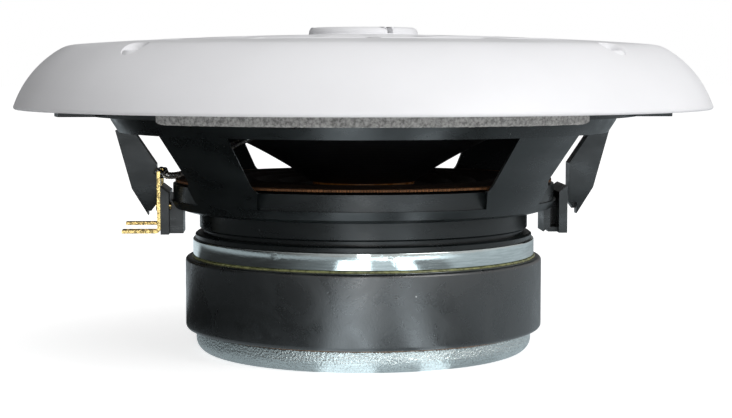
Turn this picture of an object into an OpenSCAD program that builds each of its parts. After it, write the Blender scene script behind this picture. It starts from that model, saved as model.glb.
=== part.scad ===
// Round marine loudspeaker, standing on the back of its magnet. The front faces +Z and the origin is the
// centre of the back plate's rear face. Windows face X and Y, the arms lie on the diagonals.

/* [Magnet stack] */
// Radius of the back plate
back_plate_r = 42.4; // [38:0.1:44]
// Thickness of the back plate
back_plate_t = 5.5; // [4:0.1:8]
// Rounding of the back plate's lower edge
back_plate_round = 3.2; // [1:0.1:3.6]
// Radius of the ferrite ring
magnet_r = 45; // [43:0.1:50]
// Bore radius of the ferrite ring
magnet_bore_r = 22; // [18:0.1:26]
// Thickness of the ferrite ring
magnet_t = 18; // [12:0.5:24]
// Small rounding on the ferrite ring's edges
magnet_round = 1; // [0.4:0.1:2]
// Thickness of each glue line
glue_t = 0.3; // [0.2:0.05:0.5]
// Radius of the top plate
top_plate_r = 43.1; // [40:0.1:44]
// Thickness of the top plate
top_plate_t = 4.4; // [3.5:0.1:7]
// Radius of the pole
pole_r = 12.3; // [11.5:0.05:12.4]
// Radius of the hole down the pole
pole_hole_r = 4; // [3:0.1:5]

/* [Voice coil] */
// Inner radius of the coil former
former_r = 12.65; // [12.6:0.01:12.75]
// Wall of the coil former
former_t = 0.2; // [0.1:0.02:0.3]
// Thickness of the winding
winding_t = 0.5; // [0.3:0.05:0.6]
// Height of the winding
winding_h = 8; // [6:0.5:10]
// Clearance between the winding and the top plate
gap_clear = 0.45; // [0.35:0.05:0.8]
// Travel of the cone each way, which the parts leave room for
cone_travel = 4; // [2:0.5:4]

/* [Basket] */
// Radius of the basket's foot on the top plate
foot_r = 42.5; // [40:0.1:43]
// Height of the foot's rim
foot_h = 1.4; // [1:0.1:2]
// Radius at the bottom of the groove above the foot
groove_r = 40.4; // [38:0.1:41]
// Height of the groove above the foot
groove_h = 1; // [0.6:0.1:1.4]
// Radius of the neck
neck_r = 41.4; // [41:0.1:42]
// Height from the top plate to the top of the neck
neck_top = 6.8; // [6:0.1:8]
// Thickness of the basket's floor
floor_t = 2.5; // [2:0.1:3]
// Radius of the hole in the basket's floor
floor_bore_r = 18; // [16:0.5:24]
// Wall of the neck
neck_wall = 3; // [2:0.1:4]
// Radius of the ring that carries the spider
ring_r = 48; // [46:0.1:49]
// Height of the ring's face
ring_face_h = 3.9; // [3:0.1:5]
// Height from the top plate to the top of the ring
ring_top = 13.7; // [13:0.1:15]
// Width of the landing on the ring
ring_land_w = 4.2; // [3:0.1:5]
// Wall of the arms, measured across the axis
arm_wall = 2.6; // [2:0.1:3]
// Height of the windows
window_h = 13; // [11:0.1:13.5]
// Half width of a window at its foot
window_foot_w = 27.1; // [24:0.1:29]
// Half width of a window at its head
window_head_w = 33.1; // [29:0.1:35]
// Rounding of the windows' lower corners
window_round = 3.4; // [1:0.1:4]
// Distance of the rim inside the flange's edge
rim_in = 6.7; // [6.2:0.1:7.4]
// Height from the top of the windows to the flange
rim_h = 4; // [3:0.1:5]
// Distance of the flange's bore inside the rim
flange_bore_in = 2; // [1.6:0.1:2.4]
// Distance of the round flange inside the front's outer edge
flange_in = 18.5; // [17:0.1:19]
// Thickness of the flange
flange_t = 2.6; // [2:0.1:3.2]
// Distance of the ears' ends inside the front's outer edge
ear_in = 10; // [9:0.1:13]
// Half width of an ear
ear_w = 21; // [16:0.5:24]

/* [Fins and terminals] */
// Half width of the fin under each ear
fin_w = 3; // [2:0.1:4]
// How far the fin stands out from the rim at its head
fin_head = 0.4; // [0.1:0.1:1]
// Space between the terminal bracket and the fin
fin_gap = 1.3; // [1.1:0.1:2.2]
// Depth of the fin at its crease
fin_crease_d = 6.1; // [4:0.1:8]
// Height of the crease above the back plate's rear face
fin_crease_z = 40.8; // [39:0.1:43]
// Height of the fin's tip
fin_tip_z = 34; // [33:0.1:36]
// Height of the fin's inner face above its tip
fin_face_h = 12.9; // [10:0.1:15]
// Width of the slit in the fin's tip
fin_slit_w = 1.2; // [0.8:0.1:1.6]
// Depth of the bracket's root inside the ring's face
bracket_root = 2.7; // [1.5:0.1:3.5]
// Depth of the terminal bracket
bracket_d = 5.5; // [5.2:0.1:5.8]
// Lower end of the terminal bracket
bracket_z = 29.7; // [28.8:0.1:31]
// Half width of the bracket's inner block
block_w = 5; // [4:0.1:6]
// Half width of the bracket's outer plate
board_w = 8.4; // [8:0.1:9.5]
// Thickness of the bracket's outer plate
board_t = 2.1; // [1.8:0.1:2.5]
// Width of the slot between block and plate
slot_w = 1.7; // [1:0.1:2]
// Thickness of the brass terminals
tab_t = 0.8; // [0.5:0.1:0.8]
// Width of the wide terminal
wide_tab_w = 4.8; // [4:0.1:5]
// Width of the narrow terminal
narrow_tab_w = 2.8; // [2:0.1:4]
// Distance of each terminal from the middle
tab_y = 6; // [5.6:0.1:6.2]
// Length of the terminals' tabs
tab_l = 9.6; // [7:0.1:12]
// Height of the wide terminal's tab
wide_tab_z = 30.4; // [30:0.1:31]
// Height of the narrow terminal's tab
narrow_tab_z = 31.4; // [30:0.1:32]
// Height of the terminals' top ends
tab_top_z = 45.4; // [44:0.1:47]
// Radius of the rivets through the terminals
rivet_r = 0.8; // [0.6:0.1:1]

/* [Cone and suspension] */
// Wall of the cone
cone_t = 0.6; // [0.4:0.05:0.8]
// Height of the cone's neck above the top plate
cone_neck = 13.9; // [13.6:0.1:14.5]
// Clearance between the cone and the flange's bore
cone_clear = 1.8; // [1.6:0.1:3]
// Width of the cone's flat lip
cone_lip_w = 3.2; // [2:0.1:4]
// Bulge of the cone above a straight line
cone_bulge = 2.4; // [0:0.1:4]
// Radius of the surround's half roll
roll_r = 3; // [2.5:0.1:3]
// Thickness of the surround
surround_t = 0.6; // [0.4:0.05:0.7]
// Distance of the surround inside the flange's edge
surround_in = 0.9; // [0.5:0.1:1.5]
// Thickness of the ring that clamps the surround
clamp_t = 1.4; // [1:0.1:2]
// Thickness of the spider cloth
spider_t = 0.5; // [0.4:0.05:0.7]
// Height of the spider's waves
spider_wave = 0.9; // [0.5:0.1:1.2]
// Number of waves in the spider
spider_waves = 5; // [3:1:7]
// Radius of the braided leads
lead_r = 0.5; // [0.4:0.05:0.7]

/* [Front] */
// Outer radius of the front moulding
front_r = 87; // [84:0.5:92]
// Height of the front moulding's rim
front_rim_z = 60.9; // [60:0.1:61.2]
// Wall of the front moulding
front_wall = 2.6; // [2:0.1:3]
// Radius of the rounded flank
flank_r = 26.1; // [24:0.1:28]
// Distance of the flank's centre inside the outer edge
flank_in = 24.8; // [23:0.1:26]
// Height of the flank's centre
flank_z = 53.1; // [52:0.1:55]
// Height of the crown at the middle
crown_z = 79.2; // [78:0.1:80]
// Radius of the crown's curve
crown_r = 1020; // [800:10:1400]
// Distance inside the outer edge at which the crown meets the flank
shoulder_in = 13.8; // [13:0.1:15]
// Distance of the open part of the grille inside the outer edge
open_in = 28; // [27:0.5:33]
// Thickness of the grille bars
bar_t = 2.4; // [2:0.1:3]
// Width of each ring slot
slot_gap = 6.6; // [4:0.1:8]
// Width of each ring bar
ring_bar_w = 3.2; // [2:0.1:5]
// Width of each spoke
spoke_w = 3; // [2:0.1:5]
// Number of spokes
spokes = 12; // [8:1:16]
// Number of slot rings
slot_rings = 4; // [1:1:4]
// Radius of the boss over the tweeter
boss_r = 13.7; // [12:0.1:15]
// Height of the boss above the crown
boss_h = 1.8; // [1:0.1:3]
// Rounding of the boss's edge
boss_round = 1.5; // [0.5:0.1:1.7]
// Width of the slots that run in from the boss's edge
boss_slot_w = 1.5; // [1:0.1:2.5]
// Length of the slots that run in from the boss's edge
boss_slot_l = 3.2; // [2.4:0.1:3.6]
// Width of the ring slots in the boss
boss_ring_gap = 1.6; // [1:0.1:1.8]
// Width of the bars in the boss
boss_bar_w = 1.6; // [1.2:0.1:2]
// Number of bars across each ring slot in the boss
boss_bars = 5; // [4:1:6]
// Distance of the mounting screws inside the outer edge
screw_in = 12; // [11.5:0.1:13]
// Radius of the mounting screw holes
screw_hole_r = 2.4; // [1.8:0.1:2.6]
// Wall around the mounting screw holes
screw_boss_wall = 2; // [1.5:0.1:2.5]
// Thickness of the gasket under the flange
gasket_t = 1; // [0.6:0.1:1]
// Width of the gasket under the flange
gasket_w = 4.6; // [3:0.1:6]
// Half angle that each gasket strip spans
gasket_half = 45; // [40:1:50]

/* [Tweeter] */
// Radius of the tweeter's post
post_r = 4.6; // [4.2:0.1:5]
// Height at which the tweeter's rear cup stands
cup_z = 57; // [56:0.5:60]
// Inner radius of the tweeter's rear cup
cup_bore_r = 7.1; // [7.1:0.1:8]
// Depth of the tweeter's rear cup
cup_h = 7; // [6:0.1:8]
// Wall of the tweeter's rear cup
cup_t = 1.9; // [1:0.1:2.5]
// Radius of the tweeter's front plate
tweeter_r = 17; // [15:0.5:20]
// Thickness of the tweeter's front plate
tweeter_t = 2.4; // [2:0.1:3]
// Radius of the tweeter's dome and coil
dome_r = 6.65; // [6:0.05:6.65]
// Rise of the tweeter's dome
dome_h = 2.4; // [2:0.1:3]
// Travel of the tweeter's dome each way
dome_travel = 0.25; // [0.1:0.05:0.3]
// Radius of the capacitor
capacitor_r = 3.1; // [2.5:0.1:3.2]
// Length of the capacitor
capacitor_h = 11; // [8:0.5:12]

/* [Hidden] */
smooth = 128;
small = 48;
eps = 0.01;

// Heights of the stack
magnet_z = back_plate_t + glue_t;
top_plate_z = magnet_z + magnet_t + glue_t;
stack_z = top_plate_z + top_plate_t;
gap_r = former_r + former_t + winding_t + gap_clear;
coil_z = top_plate_z + top_plate_t / 2 - winding_h / 2;

// Radii that follow the front's outer edge
flange_r = front_r - flange_in;
rim_r = flange_r - rim_in;
flange_bore_r = rim_r - flange_bore_in;
cone_r = flange_bore_r - cone_clear;
surround_r = flange_r - surround_in;
open_r = front_r - open_in;
shoulder_r = front_r - shoulder_in;
screw_circle_r = front_r - screw_in;
ear_r = front_r - ear_in;

// Heights of the basket
neck_z = stack_z + neck_top;
ring_z = stack_z + ring_top;
window_z = ring_z + window_h;
flange_z = window_z + rim_h;
ledge_z = flange_z + flange_t;
ring_bevel_z = ring_z - ring_face_h;

// Places of the brackets, terminals and fins
bracket_in_x = ring_r - bracket_root;
bracket_out_x = bracket_in_x + bracket_d;
tab_reach = bracket_out_x + tab_l;
fin_inner_x = bracket_out_x + fin_gap;
fin_crease_x = fin_inner_x + fin_crease_d;
fin_head_x = max(rim_r + fin_head, fin_crease_x + 2);

// Suspension
cone_z = stack_z + cone_neck;
roll_in = cone_r + 0.2;
roll_mid = roll_in + roll_r;
roll_out = roll_mid + roll_r;
clamp_bore_r = roll_out + 0.5;
neck_join_r = former_r + former_t;
spider_in_z = cone_z - 1.6;
spider_out_z = ring_z;

// Grille screws sit at the corners of the ears
ear_screw_x = ear_r - 5.5;
ear_screw_y = ear_w - 7;
ear_screw_r = 1.45;
ear_screw_head_r = 2.8;
ear_screw_head_h = 1.5;
ear_screw_l = 11;

// Screws through the basket's floor into the top plate
plate_screw_inset = 6.4;
plate_screw_circle_r = neck_r - neck_wall - plate_screw_inset;
plate_screw_r = 1.5;
plate_screw_head_r = 3;
plate_screw_head_h = 1.9;
plate_screw_clear = 0.15;
ear_hole_r = ear_screw_r + plate_screw_clear;

// Tweeter's motor
tweeter_coil_t = 0.3;
tweeter_coil_h = 2.2;
tweeter_pole_t = 2;
tweeter_pole_r = dome_r - tweeter_coil_t - 0.35;
film_t = 0.2;
film_z = cup_z + cup_h;

// Points of an arc about [x, y], from angle a to angle b in n steps
function arc(x, y, r, a, b, n) = [for (i = [0:n]) let (t = a + (b - a) * i / n)
    [x + r * cos(t), y + r * sin(t)]];

// Height of the crown's outer face at radius r
function crown(r) = crown_z - (crown_r - sqrt(crown_r * crown_r - r * r));

// Height of the flank's outer face at radius r
function flank(r) = flank_z + sqrt(max(0, pow(flank_r, 2) - pow(r - front_r + flank_in, 2)));

// Radius and height of the cone's underside a share t of the way from neck to lip
cone_span = cone_r - cone_lip_w - neck_join_r;
function cone_run(t) = neck_join_r + t * cone_span;
function cone_rise(t) = cone_z + t * (ledge_z - cone_t - cone_z) + 4 * cone_bulge * t * (1 - t);

// Places on the four diagonals
module on_diagonals(r) {
    for (a = [45:90:315]) rotate(a) translate([r, 0, 0]) children();
}

// Both ends of the X axis
module both_ends() {
    for (a = [0, 180]) rotate(a) children();
}

module ring(r, bore, h) {
    difference() {
        cylinder(h = h, r = r, $fn = smooth);
        translate([0, 0, -eps]) cylinder(h = h + 2 * eps, r = bore, $fn = smooth);
    }
}

module turned(points) {
    rotate_extrude($fn = smooth) polygon(points);
}

// Magnet stack

module back_plate() {
    color("lightsteelblue") difference() {
        turned(concat(
            [[0, 0]],
            arc(back_plate_r - back_plate_round, back_plate_round, back_plate_round, -90, 0, 8),
            [[back_plate_r, back_plate_t], [pole_r, back_plate_t], [pole_r, stack_z], [0, stack_z]]));
        translate([0, 0, -eps]) cylinder(h = stack_z + 2 * eps, r = pole_hole_r, $fn = small);
    }
}

module magnet() {
    top = magnet_z + magnet_t;
    edge = magnet_r - magnet_round;
    color("dimgray") turned(concat(
        [[magnet_bore_r, magnet_z]],
        arc(edge, magnet_z + magnet_round, magnet_round, -90, 0, 4),
        arc(edge, top - magnet_round, magnet_round, 0, 90, 4),
        [[magnet_bore_r, top]]));
}

module glue_lines() {
    color("darkkhaki") {
        translate([0, 0, back_plate_t]) ring(back_plate_r - 0.4, magnet_bore_r + 1, glue_t);
        translate([0, 0, top_plate_z - glue_t]) ring(top_plate_r + 0.3, magnet_bore_r + 1, glue_t);
    }
}

module top_plate() {
    color("lightsteelblue") difference() {
        translate([0, 0, top_plate_z]) ring(top_plate_r, gap_r, top_plate_t);
        on_diagonals(plate_screw_circle_r) translate([0, 0, top_plate_z - eps])
            cylinder(h = top_plate_t + 2 * eps, r = plate_screw_r, $fn = small);
    }
}

module basket_screws() {
    color("silver") on_diagonals(plate_screw_circle_r) {
        translate([0, 0, top_plate_z + 0.4])
            cylinder(h = stack_z + floor_t - top_plate_z, r = plate_screw_r, $fn = small);
        translate([0, 0, stack_z + floor_t])
            cylinder(h = plate_screw_head_h, r = plate_screw_head_r, $fn = small);
    }
}

// Basket

module basket_neck() {
    foot_top = stack_z + foot_h;
    groove_top = foot_top + groove_h;
    turned([
        [floor_bore_r, stack_z], [foot_r, stack_z], [foot_r, foot_top - 0.4], [foot_r - 0.5, foot_top],
        [groove_r, foot_top], [groove_r, groove_top], [neck_r - 0.3, groove_top], [neck_r, groove_top + 0.4],
        [neck_r, neck_z - 0.2], [neck_r + 0.5, neck_z], [ring_r - 3, neck_z + 0.4], [ring_r, ring_bevel_z],
        [ring_r, ring_z - 0.4], [ring_r - 0.4, ring_z], [ring_r - ring_land_w, ring_z],
        [ring_r - ring_land_w, ring_z - 2.4], [neck_r - neck_wall, neck_z - 0.6],
        [neck_r - neck_wall, stack_z + floor_t], [floor_bore_r, stack_z + floor_t]]);
}

// Outer face of the arms, from the ring's foot to the rim
arm_line = [[ring_r - 3.2, neck_z + 0.2], [ring_r - 0.6, neck_z + 1], [ring_r + 1.3, ring_bevel_z + 1.2],
    [ring_r + 3.3, ring_z + 2], [rim_r - 6, window_z - 4.9], [rim_r - 2.2, window_z + 0.2],
    [rim_r - 0.6, window_z + 0.9]];
arm_inner = [for (i = [len(arm_line) - 1:-1:2]) [arm_line[i][0] - arm_wall, arm_line[i][1]]];

module window_outline() {
    lean = atan((window_head_w - window_foot_w) / window_h);
    r = window_round;
    // centre of the rounded lower corner, tangent to the foot and to the leaning side
    cx = window_foot_w - r * tan((90 - lean) / 2);
    corner = arc(cx, ring_z + r, r, -90, -lean, 6);
    polygon(concat(
        [for (p = corner) p],
        [[window_head_w, window_z], [-window_head_w, window_z]],
        [for (i = [len(corner) - 1:-1:0]) [-corner[i][0], corner[i][1]]]));
}

module windows() {
    for (a = [0:90:270]) rotate(a) rotate([90, 0, 0]) linear_extrude(height = rim_r + 10) window_outline();
}

// Clears the ring's face between the arms
module ring_face_clear() {
    difference() {
        for (a = [0:90:270]) rotate(a)
            translate([ring_r - 8, -window_foot_w + 0.6, ring_bevel_z])
                cube([12, 2 * window_foot_w - 1.2, ring_face_h + window_round]);
        cylinder(h = ring_z, r = ring_r - eps, $fn = smooth);
    }
}

module arms() {
    difference() {
        turned(concat(arm_line, arm_inner, [[ring_r - 3.2, ring_bevel_z + 1]]));
        windows();
        ring_face_clear();
    }
}

module rim_and_flange() {
    turned([
        [flange_bore_r - 1.6, window_z], [rim_r - 0.4, window_z], [rim_r, window_z + 0.6],
        [rim_r + 1.4, flange_z - 1.2], [rim_r + 1.9, flange_z], [flange_r, flange_z], [flange_r, ledge_z],
        [flange_bore_r, ledge_z], [flange_bore_r, window_z + 2.4]]);
    intersection() {
        difference() {
            translate([0, 0, flange_z]) cylinder(h = flange_t, r = ear_r, $fn = smooth);
            translate([0, 0, flange_z - eps])
                cylinder(h = flange_t + 2 * eps, r = flange_r - 1, $fn = smooth);
        }
        translate([-ear_r, -ear_w, flange_z]) cube([2 * ear_r, 2 * ear_w, flange_t]);
    }
}

module fin() {
    side = [[rim_r - 4, window_z + 0.2], [fin_head_x, window_z + 0.2], [fin_crease_x, fin_crease_z],
        [fin_inner_x + 2.1, fin_tip_z], [fin_inner_x + 0.3, fin_tip_z + 2.6], [fin_inner_x, fin_tip_z + 3],
        [fin_inner_x, fin_tip_z + fin_face_h]];
    front = [[-fin_w, window_z + 0.2], [-fin_w, fin_crease_z], [-fin_w + 1.2, fin_tip_z],
        [fin_w - 1.2, fin_tip_z], [fin_w, fin_crease_z], [fin_w, window_z + 0.2]];
    difference() {
        intersection() {
            translate([0, fin_w, 0]) rotate([90, 0, 0]) linear_extrude(height = 2 * fin_w) polygon(side);
            rotate([90, 0, 90]) linear_extrude(height = ear_r) polygon(front);
        }
        translate([fin_inner_x + 0.9, -fin_w - 1, fin_tip_z - 1]) cube([fin_slit_w, 2 * fin_w, 4]);
    }
}

module bracket() {
    top = ring_bevel_z + 2.9;
    // inner block, joined to the ring
    difference() {
        translate([bracket_in_x, -block_w, bracket_z])
            cube([bracket_out_x - bracket_in_x - board_t - slot_w, 2 * block_w, top - bracket_z - 0.8]);
        translate([bracket_in_x, -block_w - 1, bracket_z]) rotate([0, 45, 0])
            cube([1.4, 2 * block_w + 2, 1.4]);
    }
    // outer plate that carries the terminals, with a sloped top
    board_x = bracket_out_x - board_t;
    translate([0, board_w, 0]) rotate([90, 0, 0]) linear_extrude(height = 2 * board_w) polygon([
        [board_x, bracket_z], [bracket_out_x, bracket_z], [bracket_out_x, top + 0.4], [board_x, top - 1.2]]);
    // foot that ties the plate to the block
    translate([bracket_in_x + 1.2, -block_w, bracket_z])
        cube([bracket_out_x - bracket_in_x - 1.2, 2 * block_w, 1.2]);
    // rib at the back of the slot
    translate([bracket_in_x, block_w - 1.6, bracket_z])
        cube([bracket_out_x - bracket_in_x, 1.6, top - bracket_z - 1.2]);
}

module basket() {
    color([0.16, 0.17, 0.18]) difference() {
        union() {
            basket_neck();
            arms();
            rim_and_flange();
            both_ends() {
                fin();
                bracket();
            }
        }
        on_diagonals(plate_screw_circle_r) translate([0, 0, stack_z - eps])
            cylinder(h = floor_t + 2 * eps, r = plate_screw_r + plate_screw_clear, $fn = small);
        ear_screw_places() {
            translate([0, 0, flange_z - eps]) cylinder(h = flange_t + 2 * eps, r = ear_hole_r, $fn = small);
            translate([0, 0, flange_z - eps])
                cylinder(h = ear_screw_head_h, r1 = ear_screw_head_r + 0.1, r2 = ear_hole_r, $fn = small);
        }
        rivet_places() translate([0, 0, -eps]) cylinder(h = board_t + 2 * eps, r = rivet_r, $fn = small);
    }
}

// Terminals

// Rivet axes point outwards through the left bracket's plate
module rivet_places() {
    for (y = [-tab_y, tab_y])
        translate([-bracket_out_x + board_t, y, bracket_z + 7]) rotate([0, -90, 0]) children();
}

module terminal(y, width, tab_z) {
    bend = 1.2;
    face = bracket_out_x;
    translate([0, y + width / 2, 0]) rotate([90, 0, 0]) linear_extrude(height = width) polygon(concat(
        [[-face, tab_top_z], [-face - tab_t, tab_top_z]],
        arc(-face - tab_t - bend + tab_t, tab_z + tab_t / 2 + bend - tab_t, bend - tab_t, 0, -90, 4),
        [[-tab_reach, tab_z + tab_t / 2], [-tab_reach, tab_z - tab_t / 2]],
        arc(-face - bend, tab_z - tab_t / 2 + bend, bend, -90, 0, 6)));
}

module tab_with_holes(y, width, tab_z) {
    difference() {
        terminal(y, width, tab_z);
        rivet_places() cylinder(h = board_t + tab_t + 1, r = rivet_r, $fn = small);
        translate([-tab_reach + 2.6, y, tab_z - tab_t]) cylinder(h = 2 * tab_t, r = width / 5, $fn = small);
    }
}

module terminal_wide() {
    color("goldenrod") tab_with_holes(-tab_y, wide_tab_w, wide_tab_z);
}

module terminal_narrow() {
    color("goldenrod") tab_with_holes(tab_y, narrow_tab_w, narrow_tab_z);
}

module terminal_rivets() {
    color("gold") rivet_places() {
        cylinder(h = board_t + tab_t, r = rivet_r, $fn = small);
        translate([0, 0, board_t + tab_t]) cylinder(h = 0.35, r = rivet_r + 0.4, $fn = small);
        translate([0, 0, -0.5]) cylinder(h = 0.5, r = rivet_r + 0.15, $fn = small);
    }
}

// Cone, coil and suspension

module cone() {
    steps = 12;
    lip_in = cone_r - cone_lip_w;
    low = [for (i = [0:steps]) [cone_run(i / steps), cone_rise(i / steps)]];
    high = [for (i = [steps:-1:0]) [cone_run(i / steps), cone_rise(i / steps) + cone_t]];
    color([0.1, 0.1, 0.11]) turned(concat(low, [[cone_r, ledge_z - cone_t], [cone_r, ledge_z]], high));
}

module coil_former() {
    top = cone_z + 1.4;
    color("peru") translate([0, 0, coil_z]) ring(former_r + former_t, former_r, top - coil_z);
}

module voice_coil() {
    color("chocolate") translate([0, 0, coil_z]) ring(neck_join_r + winding_t, neck_join_r, winding_h);
}

// Height of the spider's underside a share t of the way from its neck to its edge
function spider_line(t) = spider_in_z + (spider_out_z - spider_in_z) * t
    + spider_wave * sin(360 * spider_waves * t) * min(1, 6 * t, 6 * (1 - t));

module spider() {
    steps = 12 * spider_waves;
    inner = neck_join_r;
    outer = ring_r - ring_land_w;
    path = [for (i = [0:steps]) let (t = i / steps) [inner + 1 + t * (outer - inner - 1), spider_line(t)]];
    low = concat([[inner, spider_in_z]], path, [[ring_r - 0.6, spider_out_z]]);
    high = [for (i = [len(low) - 1:-1:0]) low[i] + [0, spider_t]];
    color("saddlebrown") turned(concat(low, high));
}

module surround() {
    steps = 12;
    lift = ledge_z;
    foot = 12;
    color([0.12, 0.12, 0.12]) turned(concat(
        [[cone_r - cone_lip_w + 0.4, lift], [roll_in + surround_t, lift]],
        arc(roll_mid, lift, roll_r - surround_t, 180, 0, steps),
        [[surround_r, lift], [surround_r, lift + surround_t]],
        [[roll_out, lift + surround_t]],
        arc(roll_mid, lift, roll_r, foot, 180 - foot, steps),
        [[roll_in, lift + surround_t], [cone_r - cone_lip_w + 0.4, lift + surround_t]]));
}

module clamp_ring() {
    color("dimgray") translate([0, 0, ledge_z + surround_t]) ring(surround_r, clamp_bore_r, clamp_t);
}

// A round tube of eight sides along points, with flat ends
function unit(v) = v / norm(v);
function along(p, i) = unit(p[min(i + 1, len(p) - 1)] - p[max(i - 1, 0)]);
module tube(p, r) {
    sides = 8;
    rings = [for (i = [0:len(p) - 1]) let (
        t = along(p, i), u = unit(cross(t, [0.3, 1, 0.1])), v = cross(t, u))
        for (k = [0:sides - 1]) p[i] + r * (cos(360 * k / sides) * u + sin(360 * k / sides) * v)];
    n = len(p);
    polyhedron(rings, concat(
        [[for (k = [0:sides - 1]) k]],
        [for (i = [0:n - 2]) for (k = [0:sides - 1]) let (m = (k + 1) % sides)
            [i * sides + k, (i + 1) * sides + k, (i + 1) * sides + m, i * sides + m]],
        [[for (k = [sides - 1:-1:0]) (n - 1) * sides + k]]));
}

// Smooth points through a chosen route
function bow(a, b, c, d, t) = 0.5 * (2 * b + (c - a) * t + (2 * a - 5 * b + 4 * c - d) * t * t
    + (3 * b - a - 3 * c + d) * t * t * t);
function smooth_route(p, n = 4) = concat([for (i = [0:len(p) - 2]) for (k = [0:n - 1])
    bow(p[max(i - 1, 0)], p[i], p[i + 1], p[min(i + 2, len(p) - 1)], k / n)], [p[len(p) - 1]]);

// Route of a braided lead, from the terminal's top to the underside of the cone. Its two ends keep to what
// they are joined to, and the points between follow them.
lead_points = [[-50.5, -6, 44.6], [-49, -6.6, 43.9], [-46, -9, 44.3], [-42, -12.5, 46.2], [-38, -15.6, 48.6],
    [-34, -18.4, 50.9], [-30.5, -20.4, 52.8], [-27.6, -21.6, 54.2]];
lead_last = len(lead_points) - 1;
lead_end_r = norm([lead_points[lead_last][0], lead_points[lead_last][1]]);
lead_start = [-bracket_out_x + 0.3, -tab_y, tab_top_z - 0.8];
lead_end = [lead_points[lead_last][0], lead_points[lead_last][1],
    cone_rise((lead_end_r - neck_join_r) / cone_span) - lead_r - 0.04];
wide_route = [for (i = [0:lead_last]) lead_points[i] + (lead_start - lead_points[0]) * (1 - i / lead_last)
    + (lead_end - lead_points[lead_last]) * i / lead_last];
narrow_route = [for (p = wide_route) [p[0], -p[1], p[2]]];

module lead_wide() {
    color("silver") tube(smooth_route(wide_route), lead_r);
}

module lead_narrow() {
    color("silver") tube(smooth_route(narrow_route), lead_r);
}

// Front moulding

module front_shell() {
    flank_steps = 9;
    crown_steps = 5;
    tip = 0.5;
    // angle at which the flank's inner face ends
    inner_top = 62;
    outer = [for (i = [0:flank_steps]) let (
        a = asin((front_rim_z + tip - flank_z) / flank_r),
        b = acos((shoulder_r - front_r + flank_in) / flank_r),
        t = a + (b - a) * i / flank_steps)
        [front_r - flank_in + flank_r * cos(t), flank_z + flank_r * sin(t)]];
    top = [for (i = [1:crown_steps]) let (r = (shoulder_r - 1.4) * (1 - i / crown_steps)) [r, crown(r)]];
    under = [for (i = [0:crown_steps]) let (r = (shoulder_r - 6) * i / crown_steps) [r, crown(r) - bar_t]];
    inner = [for (i = [0:flank_steps]) let (
        a = asin((front_rim_z - flank_z) / (flank_r - front_wall)),
        t = inner_top + (a - inner_top) * i / flank_steps)
        [front_r - flank_in + (flank_r - front_wall) * cos(t), flank_z + (flank_r - front_wall) * sin(t)]];
    turned(concat(under, inner, [[outer[0][0] - tip, front_rim_z]], outer,
        [[shoulder_r - 1.4, crown(shoulder_r - 1.4)]], top));
}

module ring_slots() {
    for (k = [0:slot_rings - 1]) {
        far = open_r - k * (slot_gap + ring_bar_w);
        difference() {
            translate([0, 0, crown_z - bar_t - 3]) ring(far, far - slot_gap, bar_t + 6);
            for (i = [0:spokes - 1]) rotate((i + 0.5 * (k % 2)) * 360 / spokes)
                translate([0, -spoke_w / 2, crown_z - bar_t - 4]) cube([far + 2, spoke_w, bar_t + 8]);
        }
    }
}

// Two ring slots that let the tweeter's sound out through the boss
module boss_rings() {
    tall = boss_h + bar_t + 1;
    for (k = [0:1]) {
        far = boss_r - boss_slot_l - boss_bar_w - k * (boss_ring_gap + boss_bar_w);
        translate([0, 0, crown_z - bar_t]) difference() {
            ring(far, far - boss_ring_gap, tall);
            for (i = [0:boss_bars - 1]) rotate((i + 0.5 * k) * 360 / boss_bars)
                translate([0, -boss_bar_w / 2, -1]) cube([far + 2, boss_bar_w, tall + 2]);
        }
    }
}

module boss() {
    base = crown(boss_r) - bar_t;
    top = crown_z + boss_h;
    difference() {
        turned(concat([[0, base], [boss_r, base]],
            arc(boss_r - boss_round, top - boss_round, boss_round, 0, 90, 6), [[0, top]]));
        // three short slots in the edge, each cut down to the crown
        for (a = [-64:120:176]) rotate(a) translate([boss_r - boss_slot_l, -boss_slot_w / 2, base - 1])
            cube([boss_r, boss_slot_w, boss_h + 8]);
        boss_rings();
        translate([0, 0, base - 1]) cylinder(h = top - 1.6 - base + 1, r = boss_r - 2, $fn = smooth);
    }
}

module ear_screw_places() {
    for (x = [-ear_screw_x, ear_screw_x], y = [-ear_screw_y, ear_screw_y]) translate([x, y, 0]) children();
}

module under_shell() {
    // space under the outer face that bosses and ribs may fill
    turned(concat([[0, front_rim_z]], [[front_r - front_wall, front_rim_z]],
        [for (i = [0:10]) let (r = front_r - front_wall - i * (front_r - front_wall - shoulder_r) / 10)
            [r, min(flank(r) - 1, crown(r) - 1)]], [[0, crown_z - 1]]));
}

module front_grille() {
    color("whitesmoke") difference() {
        union() {
            difference() {
                front_shell();
                ring_slots();
                translate([0, 0, crown_z - bar_t - 3]) cylinder(h = bar_t + 6, r = boss_r - 2, $fn = smooth);
            }
            boss();
            intersection() {
                union() {
                    translate([0, 0, ledge_z + surround_t + clamp_t]) ring(surround_r, clamp_bore_r, crown_z);
                    on_diagonals(screw_circle_r) translate([0, 0, front_rim_z])
                        cylinder(h = crown_z, r = screw_hole_r + screw_boss_wall, $fn = small);
                    ear_screw_places() translate([0, 0, ledge_z]) cylinder(h = crown_z, r = 3.6, $fn = small);
                }
                under_shell();
            }
        }
        on_diagonals(screw_circle_r) {
            translate([0, 0, front_rim_z - 1]) cylinder(h = crown_z, r = screw_hole_r, $fn = small);
            translate([0, 0, flank(screw_circle_r) - 0.6])
                cylinder(h = 2, r1 = screw_hole_r, r2 = screw_hole_r + 2, $fn = small);
        }
        ear_screw_places() translate([0, 0, ledge_z - eps])
            cylinder(h = ear_screw_l - flange_t + 0.6, r = ear_screw_r, $fn = small);
    }
}

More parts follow.
